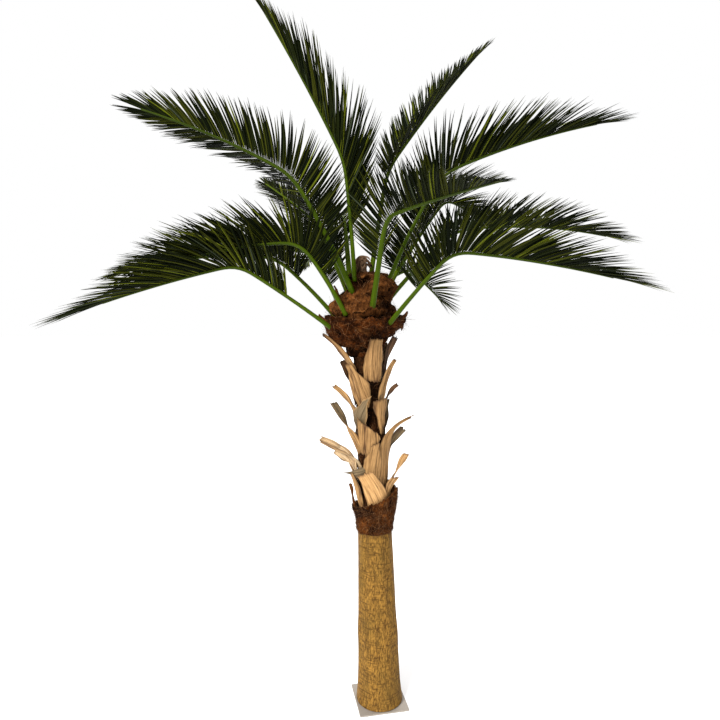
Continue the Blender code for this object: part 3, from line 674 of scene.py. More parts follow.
BOOT_BROWN = (0.062, 0.028, 0.0085)
BOOT_GREY = (0.110, 0.074, 0.034)
# the shades of a face: its pale, middle and dark fibres, and its stains
BOOT_SHADES = (BOOT_PALE, BOOT_TAN, BOOT_BROWN, BOOT_GREY)
INSIDE_SHADES = ((0.180, 0.125, 0.064), BOOT_GREY, (0.040, 0.027, 0.013), (0.060, 0.044, 0.023))
GREY_SHADES = ((0.165, 0.115, 0.060), BOOT_GREY, (0.060, 0.042, 0.020), (0.130, 0.090, 0.046))
DARK_SHADES = ((0.110, 0.050, 0.017), (0.042, 0.019, 0.007), (0.012, 0.005, 0.002),
               (0.045, 0.027, 0.012))
LIGHT_SHADES = ((0.560, 0.320, 0.130), (0.340, 0.185, 0.066), (0.110, 0.052, 0.018),
                (0.150, 0.095, 0.046))
BLEACHED_SHADES = ((0.620, 0.470, 0.300), (0.420, 0.270, 0.130), (0.130, 0.080, 0.036),
                   (0.230, 0.175, 0.105))


def read_table(value, table):
    """Reads a short table of (share, value) pairs with straight lines between."""
    for (x0, y0), (x1, y1) in zip(table, table[1:]):
        if value <= x1:
            return y0 + (y1 - y0) * max(value - x0, 0.0) / (x1 - x0)
    return table[-1][1]


def ease(x):
    """Smooth step from 0 to 1."""
    x = min(max(x, 0.0), 1.0)
    return x * x * (3 - 2 * x)


def boot_sheet(boot, seed, hug=BOOT_HUG, habit=PLAIN_HABIT):
    """Outer and inner grids of a boot, and each point's place in its grain.

    hug is how far its foot stands from the stem's axis.  A place in the grain is
    metres across, metres along, nearness to an edge, and height above the creases.
    """
    late, pleated, slant = habit
    widths = ((0.0, boot["foot_width"]), (0.10, boot["foot_width"] * 1.25), (0.36, boot["wide"]),
              (0.52, boot["wide"] * 0.94), (0.82, boot["top_width"] * 1.15), (1.0, boot["top_width"]))
    outer, inner, grain = [], [], []
    for row in range(BOOT_ROWS + 1):
        s = row / BOOT_ROWS
        outer.append([])
        inner.append([])
        grain.append([])
        for column in range(BOOT_COLUMNS + 1):
            c = 2 * column / BOOT_COLUMNS - 1
            torn = CUT_RAGGED * noise.noise(Vector((5.0 * c, seed, 0.0))) * ease((s - 0.75) / 0.25)
            torn -= FOOT_RAGGED * noise.noise(Vector((3.0 * c, seed, 6.0))) * ease((0.25 - s) / 0.25)
            # where the middle line is at a share t of the rise, and how it slopes there
            t = s + torn + slant * c * ease((s - 0.3) / 0.7)
            reach = max(t, 0.0)
            z = boot["foot"] + boot["rise"] * t
            away = boot["lean"] * reach ** late + boot["ply"] * ease(t / 0.45)
            slope = math.atan2(boot["lean"] * late * reach ** (late - 1), abs(boot["rise"]) + 0.02)
            middle = math.radians(boot["bearing"] + boot["yaw"] * t)
            tilt = math.atan2((hug + away) * math.radians(boot["yaw"]), boot["rise"])
            # its half width, bent round the stem
            half = read_table(s, widths) / 2
            half *= 1.0 + SIDE_RAGGED * noise.noise(Vector((4.0 * s, seed, 5.0 * math.copysign(1, c))))
            cup = hug + 0.5 * away
            swing = middle + c * half * math.cos(tilt) / cup
            side = around(swing, math.cos(slope)) + Vector((0, 0, -math.sin(slope)))
            # pleats, ribs, and edges that thin and curl
            across = c * half / BOOT_PLEAT_WIDTH
            pleats = min(1.0, 4.5 * abs(noise.noise(Vector((1.9 * across, 0.8 * s, seed + 8.0)))))
            ribs = noise.noise(Vector((9.0 * across, 1.6 * s, seed + 3.0)))
            edge = abs(c) ** 6
            curl = BOOT_EDGE_CURL * edge * ease((s - 0.25) / 0.3)
            pleat = BOOT_PLEAT_DEPTH * (pleated * pleats + 0.2) * ease(s / 0.2) * (1.0 - edge)
            thick = BOOT_THICK * (1.0 - 0.75 * edge) * (0.7 + 0.3 * ease(s / 0.15))
            base = (stem_axis(z - c * half * math.sin(tilt)) + around(middle, away + hug - cup)
                    + around(swing, cup) + side * (curl + pleat))
            top = base + side * (thick + BOOT_RIB_DEPTH * ribs)
            # the twist of its upper half, about its middle line
            ahead = around(middle, math.sin(slope)) + Vector((0, 0, math.cos(slope)))
            if boot["rise"] < 0:
                ahead = around(middle - math.pi / 2, 1.0)
            pivot = stem_axis(z) + around(middle, hug + away)
            turn = Matrix.Rotation(math.radians(boot["twist"]) * ease((s - 0.40) / 0.5), 3, ahead)
            outer[-1].append(pivot + turn @ (top - pivot))
            inner[-1].append(pivot + turn @ (base - pivot))
            near = max(edge, (1.0 - s / 0.10) if s < 0.10 else 0.0, (s - 0.93) / 0.07)
            grain[-1].append((c * half + seed, s * abs(boot["rise"]), near,
                              1.0 - pleated * (1.0 - pleats)))
    return outer, inner, grain


def sheet_mesh(name, outer, inner, grain):
    """A closed body between two grids; its inner face has the second finish."""
    rows, columns = len(outer), len(outer[0])
    points = [p for row in outer for p in row] + [p for row in inner for p in row]
    places = [place for row in grain for place in row] * 2
    back = rows * columns

    def at(r, c, shift=0):
        return shift + r * columns + c

    faces, inward = [], []
    for r in range(rows - 1):
        for c in range(columns - 1):
            faces.append((at(r, c), at(r, c + 1), at(r + 1, c + 1), at(r + 1, c)))
            faces.append((at(r, c, back), at(r + 1, c, back),
                          at(r + 1, c + 1, back), at(r, c + 1, back)))
            inward.append(len(faces) - 1)
    rim = [(0, c) for c in range(columns)] + [(r, columns - 1) for r in range(1, rows)]
    rim += [(rows - 1, c) for c in range(columns - 2, -1, -1)]
    rim += [(r, 0) for r in range(rows - 2, 0, -1)]
    for (r0, c0), (r1, c1) in zip(rim, rim[1:] + rim[:1]):
        faces.append((at(r0, c0), at(r0, c0, back), at(r1, c1, back), at(r1, c1)))
    mesh = closed_mesh(name, points, faces, grain=[place[:3] for place in places],
                       crease=[place[3] for place in places])
    for k in inward:
        mesh.polygons[k].material_index = 1
    return mesh


def boot_finish(name, pale, tan, brown, stain, stain_share=0.0, rim=None, rim_from=0.35):
    """Dried boot: fibres run along it, it has stains, its edges are dark, and its creases carry painted
    shade.
    """
    made, tree, shader = new_finish(name, roughness=0.72, Specular_IOR_Level=0.2)
    place = add_node(tree, "ShaderNodeAttribute", attribute_name="grain").outputs["Vector"]
    near = add_node(tree, "ShaderNodeSeparateXYZ", {"Vector": place}).outputs["Z"]
    crease = add_node(tree, "ShaderNodeAttribute", attribute_name="crease").outputs["Fac"]
    flat = arrow(tree, "MULTIPLY", place, (1.0, 1.0, 0.0))
    fibres = speckle(tree, flat, (520, 14, 1), 5.0, 0.7)
    bands = speckle(tree, flat, (150, 5, 1), 4.0, 0.6)
    stains = speckle(tree, flat, (26, 15, 1), 4.0, 0.6)
    woody = mixed(tree, 0.45, fibres, bands)
    wood = colours_by(tree, woody, (0.39, brown), (0.465, tan), (0.60, pale))
    stained = laid_over(tree, wood, stain, stains, 0.60 - stain_share, 0.76 - stain_share, 0.9)
    browned = laid_over(tree, stained, rim or brown, near, rim_from, 1.0, 0.75)
    # painted shade in the creases between the pleats
    painted_crease_shade = colours_by(tree, crease, (0.0, (0.30, 0.24, 0.20)), (0.45, (0.92, 0.90, 0.88)),
                      (0.9, (1.0, 1.0, 1.0)))
    tree.links.new(mixed(tree, 1.0, browned, painted_crease_shade, "MULTIPLY"), shader.inputs["Base Color"])
    raised(tree, shader, woody, 0.004)
    return made


boot_outside = boot_finish("dried_boot", *BOOT_SHADES)
boot_inside = boot_finish("dried_boot_inside", *INSIDE_SHADES, stain_share=0.06)
boot_grey = boot_finish("dried_boot_grey", *GREY_SHADES, rim=BOOT_PALE, rim_from=0.06)
boot_dark = boot_finish("dried_boot_dark", *DARK_SHADES, stain_share=0.02)
boot_light = boot_finish("dried_boot_light", *LIGHT_SHADES)
boot_bleached = boot_finish("dried_boot_bleached", *BLEACHED_SHADES, stain_share=0.04)

faces_of = dict.fromkeys(BOOTS, [boot_outside, boot_inside])
faces_of.update(dict.fromkeys(GREY_FACED, [boot_grey, boot_outside]))
faces_of.update(dict.fromkeys(DARK_BOOTS, [boot_dark, boot_dark]))
faces_of.update(dict.fromkeys(LIGHT_BOOTS, [boot_light, boot_inside]))
faces_of.update(dict.fromkeys(BLEACHED_BOOTS, [boot_bleached, boot_bleached]))
for order, (node, values) in enumerate(BOOTS.items()):
    sheet = boot_sheet(dict(zip(BOOT_KEYS, values)), 1.7 * order,
                       habit=BOOT_HABITS.get(node, PLAIN_HABIT))
    new_piece(node + "_dried", sheet_mesh(node + "_dried", *sheet), faces_of[node],
              [node])
for name, values, seed, faces in (("boot_16_stub", FOLDED_STUB, 77.0, [boot_inside, boot_outside]),
                                  ("boot_04_stub", NECK_STUB, 83.0, [boot_dark, boot_dark])):
    sheet = boot_sheet(dict(zip(BOOT_KEYS, values)), seed)
    new_piece(name, sheet_mesh(name, *sheet), faces, [name.removesuffix("_stub")])

# -------------------------------------------------------------- two-tier head
# Coir matting is folded and tied round the frond sockets in two tiers, the upper
# one set back.  The lower tier hangs like a bowl round the neck; both are ragged.
HEAD_SEGMENTS = 260
HEAD_HANG = 0.032            # how far the lower tier hangs on the left and rises on the right
LOWER_TIER_TOP = 2.125
WAIST_HEIGHT = 2.185         # the head is drawn in between its tiers
WAIST_DEPTH = 0.022
UPPER_TIER_FROM = 2.228
UPPER_SET_BACK = 0.062       # the upper tier is set back on the left
HOLLOW_DEEPEST = 0.07
BROWN_SHADES = ((0.005, 0.0015, 0.0004), (0.032, 0.0095, 0.0020), (0.090, 0.030, 0.0065))
TIED_SHADES = ((0.018, 0.0065, 0.0018), (0.072, 0.0275, 0.0075), (0.165, 0.072, 0.022))
GREYED_SHADES = ((0.050, 0.031, 0.019), (0.120, 0.078, 0.049), (0.230, 0.160, 0.105))
HEAD_LOWER = ((0.0, 1.915), (0.079, 1.916), (0.083, 1.935), (0.085, 1.958), (0.092, 1.978),
              (0.112, 1.996), (0.140, 2.012), (0.168, 2.034), (0.192, 2.060), (0.207, 2.086),
              (0.212, 2.104), (0.204, 2.118), (0.184, 2.122), (0.150, 2.114), (0.110, 2.108),
              (0.0, 2.106))
NECK_FRONT = math.radians(312)       # the bearing from which the roll is drawn in
NECK_DRAWN_IN = 0.036
NECK_ROLL = ((0.0, 1.912), (0.092, 1.914), (0.110, 1.926), (0.118, 1.950), (0.122, 1.980),
             (0.118, 2.004), (0.0, 2.006))
HEAD_UPPER = ((0.0, 2.100), (0.080, 2.110), (0.105, 2.126), (0.140, 2.134), (0.162, 2.146),
              (0.168, 2.164), (0.158, 2.184), (0.140, 2.200), (0.127, 2.217), (0.127, 2.238),
              (0.138, 2.260), (0.149, 2.282), (0.148, 2.304), (0.138, 2.322), (0.116, 2.338),
              (0.070, 2.350), (0.0, 2.356))
HOLLOWS = (                  # bearing, height, half width, half height, depth
    (262, 2.300, 0.056, 0.018, 0.075), (222, 2.072, 0.020, 0.016, 0.035),
    (306, 2.096, 0.030, 0.026, 0.034), (326, 2.170, 0.055, 0.026, 0.036),
    (284, 2.015, 0.060, 0.040, 0.030), (200, 2.180, 0.060, 0.024, 0.030),
    (268, 2.186, 0.045, 0.010, 0.018),
    (346, 2.105, 0.050, 0.014, 0.030), (80, 2.180, 0.080, 0.024, 0.030),
)


def folded(shift, fold, lump):
    """Relief of tied matting: rolled folds, broad lumps, hollows and coarse fibres."""
    def relief(bearing, radius, height):
        fade = min(1.0, radius / 0.06) * ease((height - 1.93) / 0.05)
        rim = min(1.0, radius / 0.14)
        left = max(0.0, -math.cos(bearing))
        lumps = lump * rough_at(bearing, 1.0, height, 2.6, 9, shift)
        slant = height + 0.025 * math.sin(2 * bearing + shift)
        folds = fold * (1 - 3.2 * abs(rough_at(bearing, 1.0, slant, 1.3, 26, shift + 4.0)))
        fibres = 0.0022 * rough_at(bearing, radius, height, 75, 30, shift + 7.0)
        # the coir finishes paint what is drawn in here darker, as shade
        hollow = 0.0
        for aim, level, wide, tall, depth in HOLLOWS:
            off = (bearing - math.radians(aim)) * radius / wide
            hollow += depth * math.exp(-off * off - ((height - level) / tall) ** 2)
        drawn_in = min(hollow, HOLLOW_DEEPEST)
        drawn_in += WAIST_DEPTH * (math.cos(bearing) + 0.2) * math.exp(
            -((height - WAIST_HEIGHT) / 0.035) ** 2)
        drawn_in += left * (UPPER_SET_BACK * ease((height - UPPER_TIER_FROM) / 0.035) * rim
                            - 0.010 * math.exp(-((height - WAIST_HEIGHT + 0.010) / 0.03) ** 2))
        ragged = rim * rim * (0.020 * rough_at(bearing, 1.0, 0.0, 5.0, 1, 11.0)
                              + 0.012 * rough_at(bearing, 1.0, 0.0, 16.0, 1, 15.0))
        hang = HEAD_HANG * math.cos(bearing) * ease((LOWER_TIER_TOP - height) / 0.06) * rim
        return (lumps + folds + fibres) * fade - drawn_in, (ragged + hang) * fade
    return relief


def neck_relief(bearing, radius, height):
    """A roll of matting round the neck, drawn in where the front boots stand."""
    front = ease((math.cos(bearing - NECK_FRONT) + 0.25) / 0.6)
    lumps = 0.007 * rough_at(bearing, radius, height, 14, 22, 5.0)
    return (lumps - NECK_DRAWN_IN * front) * min(1.0, radius / 0.06), 0.0


coir_brown = coir_finish("coir_brown", *BROWN_SHADES, upright=False, painted_shade_depth=0.018)
coir_tied = coir_finish("coir_tied", *TIED_SHADES, upright=True, painted_shade_depth=0.022)
coir_grey = coir_finish("coir_grey", *GREYED_SHADES, upright=True, painted_shade_depth=0.020)
lower_mesh = tube_mesh("head_lower_matting", rows_between(HEAD_LOWER, MATTING_ROW), HEAD_SEGMENTS,
                       folded(shift=3.0, fold=0.012, lump=0.016))
new_piece("head_lower_matting", lower_mesh, [coir_brown], ["coir_head_lower"])
# the neck roll takes the core's dark coir, and where it is drawn in its finish paints it darker as
# shade
neck_mesh = tube_mesh("neck_matting", rows_between(NECK_ROLL, MATTING_ROW), HEAD_SEGMENTS,
                      neck_relief)
new_piece("neck_matting", neck_mesh, [coir_dark], ["coir_head_lower"])
upper_mesh = tube_mesh("head_upper_matting", rows_between(HEAD_UPPER, MATTING_ROW), HEAD_SEGMENTS,
                       folded(shift=20.0, fold=0.011, lump=0.013))
new_piece("head_upper_matting", upper_mesh, [coir_tied], ["coir_head_upper"])

# --------------------------------------------------------- torn ends and tufts
# The matting was cut with shears: torn ends stand off both tiers and the cuff, and
# curled tufts stand on top.  Loose fibres lie all over the head.
TORN_KEYS = BOOT_KEYS + ("hug",)
TORN_ENDS = {
    "torn_lower_1": (194, 2.040, 0.090, 0.110, 0.120, 0.060, 0.040, -10, 0, 0.0, 0.200),
    "torn_lower_2": (344, 2.065, 0.085, 0.120, 0.110, 0.046, 0.030, 8, 0, 0.0, 0.180),
    "torn_lower_3": (252, 2.070, 0.060, 0.150, 0.130, 0.080, 0.014, 10, 0, 0.0, 0.198),
    "torn_lower_4": (90, 2.060, 0.080, 0.160, 0.130, 0.060, 0.035, 10, 0, 0.0, 0.190),
    "torn_lower_5": (200, 1.985, 0.070, 0.080, 0.100, 0.050, 0.060, 6, 20, 0.0, 0.125),
    "torn_upper_1": (190, 2.200, 0.084, 0.080, 0.050, 0.012, 0.024, 0, 20, 0.0, 0.132),
    "torn_upper_2": (344, 2.200, 0.088, 0.100, 0.104, 0.060, 0.036, 6, -10, 0.0, 0.128),
    "torn_upper_3": (222, 2.140, 0.070, 0.110, 0.110, 0.070, 0.016, -20, 0, 0.0, 0.142),
    "torn_upper_4": (80, 2.205, 0.085, 0.120, 0.100, 0.040, 0.030, 6, 0, 0.0, 0.135),
    "torn_upper_5": (300, 2.235, 0.085, 0.110, 0.120, 0.070, -0.020, 4, 0, 0.0, 0.136),
    "torn_upper_6": (262, 2.125, 0.062, 0.120, 0.150, 0.100, -0.014, -6, 0, 0.0, 0.160),
    "torn_cuff_1": (183, 1.105, 0.128, 0.036, 0.032, 0.020, 0.016, 0, 50, 0.0, 0.103),
}
TORN_FROM = {"torn_lower": "coir_head_lower", "torn_upper": "coir_head_upper",
             "torn_cuff": "coir_cuff"}
TUFTS = {                    # four (x, z) corners of the curl, y, width at foot and tip
    "tuft_1": ((-0.104, 2.310), (-0.148, 2.400), (-0.095, 2.446), (-0.060, 2.405), -0.03, 0.070, 0.022),
    "tuft_2": ((-0.088, 2.320), (-0.100, 2.380), (-0.085, 2.405), (-0.072, 2.392), -0.04, 0.050, 0.012),
}
TUFT_ROWS, TUFT_COLUMNS = 30, 16
TUFT_LENGTH = 0.15
TUFT_CUPPED = 0.010
TUFT_THICK = 0.007           # along its middle: its sides are thinner
TUFT_SIDE_THICK = 0.003

for order, (name, values) in enumerate(TORN_ENDS.items()):
    torn = dict(zip(TORN_KEYS, values))
    sheet = boot_sheet(torn, 130.0 + 2.3 * order, torn["hug"])
    new_piece(name, sheet_mesh(name, *sheet), [coir_tied, coir_brown],
              [TORN_FROM[name.rpartition("_")[0]]])


def tuft_sheet(corners, depth, wide, narrow):
    """Front and back grids of a ribbon of matting along a curl, and its grain."""
    outer, inner, grain = [], [], []
    shift = 90 * wide
    for row in range(TUFT_ROWS + 1):
        s = row / TUFT_ROWS
        spots = [Vector((x, depth, z)) for x, z in corners]
        while len(spots) > 2:
            spots = [a.lerp(b, s) for a, b in zip(spots, spots[1:])]
        ahead = (spots[1] - spots[0]).normalized()
        level = ahead.cross(Vector((0, 1, 0)))
        half = (wide + (narrow - wide) * s) / 2
        outer.append([])
        inner.append([])
        grain.append([])
        for column in range(TUFT_COLUMNS + 1):
            c = 2 * column / TUFT_COLUMNS - 1
            ragged = 0.30 * noise.noise(Vector((3.0 * c, 5.0 * s, shift)))
            spot = spots[0].lerp(spots[1], s) + level * (half * c * (1 + ragged))
            spot += ahead * (0.05 * noise.noise(Vector((4.0 * c, shift, 0.0))) * s)
            spot.y -= TUFT_CUPPED * (1 - c * c) + 0.006 * noise.noise(Vector((4.0 * c, 3.0 * s, 2.0)))
            thick = TUFT_SIDE_THICK + (TUFT_THICK - TUFT_SIDE_THICK) * (1 - abs(c))
            outer[-1].append(spot)
            inner[-1].append(spot + Vector((0, thick, 0)))
            grain[-1].append((c * half, s * TUFT_LENGTH, abs(c) ** 6, 1.0))
    return outer, inner, grain


for name, (*corners, depth, wide, narrow) in TUFTS.items():
    sheet = tuft_sheet(corners, depth, wide, narrow)
    new_piece(name, sheet_mesh(name, *sheet), [coir_grey, coir_grey], ["coir_head_upper"])
new_piece("head_lower_strands", grown("head_lower_strands", lower_mesh, strand_tree, {
    "Density": 5000.0, "Length": 0.046, "Lift": 0.05, "Seed": 11}),
          [], ["coir_head_lower"])
new_piece("head_upper_strands", grown("head_upper_strands", upper_mesh, strand_tree, {
    "Density": 4500.0, "Length": 0.046, "Lift": 0.05, "Upright": 0.6, "Seed": 12}),
          [], ["coir_head_upper"])

# --------------------------------------------------------------- frond stems
# Every frond has a moulded plastic stem on a wire, pushed into a socket in the
# head: bright green below, darker towards the tip, with a groove along its upper
# side and a painted highlight along the ridges beside it.

# Angles are in degrees; height, reach (from the axis) and length are in metres.  The
# others are shares: elbow is where the stem bends, bare how much of it has no leaflets,
# and leaf, tip and open are the leaflets' size, their size at the tip and their opening.
FROND_KEYS = ("bearing", "rise", "arch", "bend", "elbow", "turn", "roll",
              "height", "reach", "seat", "length", "leaf", "tip", "bare", "open")
FRONDS = {
    "frond_01": (185, 87, 10, 19, 0.42, 0, 0, 2.335, 0.09, 235, 1.33, 1.2, 0.8, 0.18, 0.57),
    "frond_02": (36, 81, 11, 26, 0.35, 0, 0, 2.34, 0.065, 55, 1.59, 0.76, 1.2, 0.33, 0.65),
    "frond_03": (190, 67, 24, 28, 0.45, 0, 50, 2.285, 0.127, 231, 1.33, 0.95, 0.9, 0.18, 1.0),
    "frond_04": (133, 58, 9, 22, 0.45, 0, -40, 2.25, 0.09, 183, 1.00, 0.7, 1.0, 0.18, 1.0),
    "frond_05": (200, 62, 33, 52, 0.34, -20, 0, 2.14, 0.17, 232, 1.20, 1.0, 1.0, 0.18, 1.0),
    "frond_06": (172, 49, 32, 33, 0.32, 0, 0, 2.143, 0.18, 178, 1.28, 0.95, 1.0, 0.20, 1.0),
    "frond_07": (195, 37, 12.5, 44.5, 0.47, 0, 0, 2.06, 0.19, 205, 1.20, 1.05, 1.6, 0.24, 0.75),
    "frond_08": (290, 69, 5, 66, 0.315, 0, 0, 2.18, 0.16, 282, 1.36, 0.95, 0.5, 0.17, 0.9),
    "frond_09": (335, 50, 14, 50, 0.38, 20, 0, 2.10, 0.188, 309, 1.19, 1.0, 1.5, 0.18, 1.0),
    "frond_10": (35, 55, 13, 62, 0.65, 0, 0, 2.26, 0.13, 28, 1.00, 0.8, 1.0, 0.12, 1.0),
    "frond_11": (345, 68, 23, 34, 0.435, 15, 0, 2.285, 0.12, 340, 1.38, 1.0, 1.2, 0.27, 0.9),
    "frond_12": (14, 49, 26, 32, 0.35, 0, 0, 2.23, 0.15, 20, 1.42, 0.85, 1.6, 0.27, 1.0),
    "frond_13": (45, 26, 20, 50, 0.50, -20, 0, 2.28, 0.14, 62, 0.55, 0.75, 1.0, 0.36, 1.7),
    "frond_14": (110, 56, 28, 44, 0.38, 0, 0, 2.19, 0.15, 120, 1.15, 0.8, 1.0, 0.30, 1.0),
    "frond_15": (125, 50, 22, 30, 0.38, 0, 0, 2.16, 0.16, 145, 1.12, 0.8, 1.0, 0.15, 1.0),
    "frond_16": (98, 60, 23, 38, 0.41, 0, 0, 2.31, 0.09, 150, 1.05, 0.7, 1.0, 0.30, 0.8),
}
ELBOW_SOFT = 0.16            # the shares of the length over which it bends and turns
TURN_SOFT = 0.40
FINE_STEPS = 48
STEM_HALF_WIDTH = 0.0160
TIP_HALF_WIDTH = 0.0045
STEM_DEPTH_SHARE = 0.75
STEM_BURIED = {"frond_03": 0.060, "frond_05": 0.008, "frond_07": 0.0, "frond_09": 0.018}
PLAIN_BURIED = 0.032         # how far the other stems go into the head
STEM_SECTION = ((1.0, 0.10), (0.86, 0.62), (0.48, 0.92), (0.16, 0.66), (-0.16, 0.66),
                (-0.48, 0.92), (-0.86, 0.62), (-1.0, 0.10), (-0.82, -0.52), (-0.42, -0.90),
                (0.0, -1.0), (0.42, -0.90), (0.82, -0.52))
STEM_GREEN = (0.027, 0.050, 0.0004)
STEM_MIDDLE = (0.026, 0.044, 0.002)
STEM_DARK = (0.016, 0.026, 0.0025)
# painted highlight on the stem's upper ridges, and the colour of its lighter streaks
STEM_HIGHLIGHT_AND_STREAKS = (0.078, 0.118, 0.002)


def frond_frames(frond):
    """Point, direction, side and upper normal at every fine step of a rib."""
    seat = math.radians(frond["seat"])
    point = stem_axis(frond["height"]) + around(seat, frond["reach"])
    frames = []
    for k in range(FINE_STEPS + 1):
        s = k / FINE_STEPS
        slope = math.radians(frond["rise"] - frond["arch"] * s
                             - frond["bend"] * ease((s - frond["elbow"]) / ELBOW_SOFT + 0.5))
        bearing = math.radians(frond["bearing"]
                               + frond["turn"] * ease((s - frond["elbow"]) / TURN_SOFT + 0.5))
        ahead = around(bearing, math.cos(slope)) + Vector((0.0, 0.0, math.sin(slope)))
        side = Vector((-math.sin(bearing), math.cos(bearing), 0.0))
        roll = Matrix.Rotation(math.radians(frond["roll"]), 3, ahead)
        upper = roll @ ahead.cross(side)
        side = roll @ side
        if k:
            point = point + (ahead + frames[-1][1]).normalized() * frond["length"] / FINE_STEPS
        frames.append((point, ahead, side, upper))
    return frames


def frame_at(frames, s):
    """The frame at share s of the length, between two fine steps."""
    place = min(max(s, 0.0), 1.0) * FINE_STEPS
    k = min(int(place), FINE_STEPS - 1)
    return [a.lerp(b, place - k) for a, b in zip(frames[k], frames[k + 1])]


def stem_mesh(name, frames, buried):
    """The stem's body from inside the head to its tip.

    The point attribute "grain" holds the share of the length, then the place in the
    section, upwards and sideways.
    """
    point, ahead, side, upper = frames[0]
    stations = [(point - ahead * buried, side, upper, 0.0)]
    for k, (point, _, side, upper) in enumerate(frames):
        stations.append((point, side, upper, k / FINE_STEPS))
    points, places = [], []
    for point, side, upper, s in stations:
        wide = STEM_HALF_WIDTH + (TIP_HALF_WIDTH - STEM_HALF_WIDTH) * s ** 0.8
        for x, y in STEM_SECTION:
            points.append(point + side * (x * wide) + upper * (y * wide * STEM_DEPTH_SHARE))
            places.append((s, y, x))
    count = len(STEM_SECTION)
    faces = [tuple(range(count)), tuple(len(points) - 1 - k for k in range(count))]
    for low in range(0, len(points) - count, count):
        high = low + count
        for k in range(count):
            j = (k + 1) % count
            faces.append((low + k, high + k, high + j, low + j))
    return closed_mesh(name, points, faces, grain=places)


stem_plastic, tree, shader = new_finish("frond_stem_plastic", roughness=0.4,
                                        Specular_IOR_Level=0.04)
place = add_node(tree, "ShaderNodeAttribute", attribute_name="grain").outputs["Vector"]
parts = add_node(tree, "ShaderNodeSeparateXYZ", {"Vector": place}).outputs
darker_to_tip = colours_by(tree, parts["X"], (0.05, STEM_GREEN), (0.36, STEM_MIDDLE), (0.72, STEM_DARK))
# painted highlight along the upper ridges of the stem
top_highlighted = laid_over(tree, darker_to_tip, STEM_HIGHLIGHT_AND_STREAKS, parts["Y"], 0.60, 0.70, 0.55)
streaks = speckle(tree, place, (5, 2, 2.5), 4.0)
tree.links.new(laid_over(tree, top_highlighted, STEM_HIGHLIGHT_AND_STREAKS, streaks, 0.45, 0.70, 0.40),
               shader.inputs["Base Color"])
raised(tree, shader, streaks, 0.001)

rib_frames = {}
for node, values in FRONDS.items():
    rib_frames[node] = frond_frames(dict(zip(FROND_KEYS, values)))
    stem = stem_mesh(node + "_stem", rib_frames[node], STEM_BURIED.get(node, PLAIN_BURIED))
    new_piece(node + "_stem", stem, [stem_plastic], [node])

# ------------------------------------------------------------- frond leaflets
# The leaflets are cut from green plastic sheet, creased down the middle and held
# in two rows along the stem, swept towards the tip and lifted into a long trough.
# A geometry tree sets them along each rib.
LAST_LEAFLET = 0.985         # share of the stem's length
LEAFLET_PITCH = 0.0064
LEAFLET_LENGTH = 0.31
LEAFLET_WIDTH = 0.0110
# degrees, and shares of the full length, by the share of the leaf-bearing stretch
LEAFLET_OPEN = ((0.0, 76), (0.3, 66), (0.7, 44), (1.0, 10))
LEAFLET_LIFT = ((0.0, 50), (0.6, 42), (1.0, 16))
WIDEST = 90.0                # degrees at the top of both
LEAST_OPEN = 2.0
LEAFLET_SHARE = ((0.0, 0.55), (0.06, 0.8), (0.2, 1.0), (0.55, 0.95), (0.8, 0.74), (1.0, 0.56))
# share of a leaflet's width, by the share of its own length
LEAFLET_OUTLINE = ((0.0, 0.30), (0.08, 0.55), (0.30, 1.0), (0.55, 0.92), (0.80, 0.55), (1.0, 0.04))
LEAFLET_SAG = 0.06
LEAFLET_SWEEP = 0.10
LEAFLET_SPREAD = 4.5
LEAF_SEGMENTS = 8
# the bright yellow-green leaflets are painted glints of light, dealt at random among the darker ones
LEAF_COLOURS = {             # colour, and the draw from 0 to 1 above which it is dealt
    "leaf_deep": ((0.0026, 0.0041, 0.0009), -1.0),
    "leaf_green": ((0.0078, 0.0107, 0.0015), 0.34),
    "leaf_olive": ((0.0266, 0.0303, 0.0022), 0.70),
    "leaf_glint": ((0.0777, 0.0925, 0.0044), 0.91),
    "leaf_grey": ((0.0281, 0.0355, 0.0192), 0.96),
}


def curve_of(tree, amount, table, top=1.0):
    """What a table of (share, value) says at an amount; top is its highest value."""
    node = add_node(tree, "ShaderNodeFloatCurve", {"Value": amount})
    line = node.mapping.curves[0]
    while len(line.points) < len(table):
        line.points.new(0.5, 0.5)
    for point, (share, value) in zip(line.points, table):
        point.location = (share, value / top)
        point.handle_type = "VECTOR"
    node.mapping.update()
    return number(tree, "MULTIPLY", node.outputs["Value"], top)


def swung(tree, first, second, angle):
    """A direction swung by an angle from one unit vector towards another."""
    return arrow(tree, "ADD", scaled(tree, first, number(tree, "COSINE", angle)),
                 scaled(tree, second, number(tree, "SINE", angle)))


leaflet_tree, asked = geometry_tree("leaflet_rows", {
    "Count": ("NodeSocketInt", 100),
    "Length": ("NodeSocketFloat", LEAFLET_LENGTH),
    "Width": ("NodeSocketFloat", LEAFLET_WIDTH),
    "Sag": ("NodeSocketFloat", LEAFLET_SAG),
    "Sweep": ("NodeSocketFloat", LEAFLET_SWEEP),
    "Spread": ("NodeSocketFloat", LEAFLET_SPREAD),
    "Open": ("NodeSocketFloat", 1.0),
    "Tip": ("NodeSocketFloat", 1.0),
    "Seed": ("NodeSocketInt", 1),
})
tree = leaflet_tree
rib = add_node(tree, "GeometryNodeMeshToCurve", {"Mesh": asked["Geometry"]}).outputs["Curve"]
rib = add_node(tree, "GeometryNodeResampleCurve", {"Curve": rib, "Count": asked["Count"]})
row = add_node(tree, "GeometryNodeCurveToPoints", {"Curve": rib.outputs["Curve"]},
               mode="EVALUATED").outputs
last = number(tree, "SUBTRACT", asked["Count"], 1.0)
share = number(tree, "DIVIDE", add_node(tree, "GeometryNodeInputIndex").outputs["Index"], last)
points = stored(tree, row["Points"], "share", "FLOAT", share)
points = stored(tree, points, "ahead", "FLOAT_VECTOR", row["Tangent"])
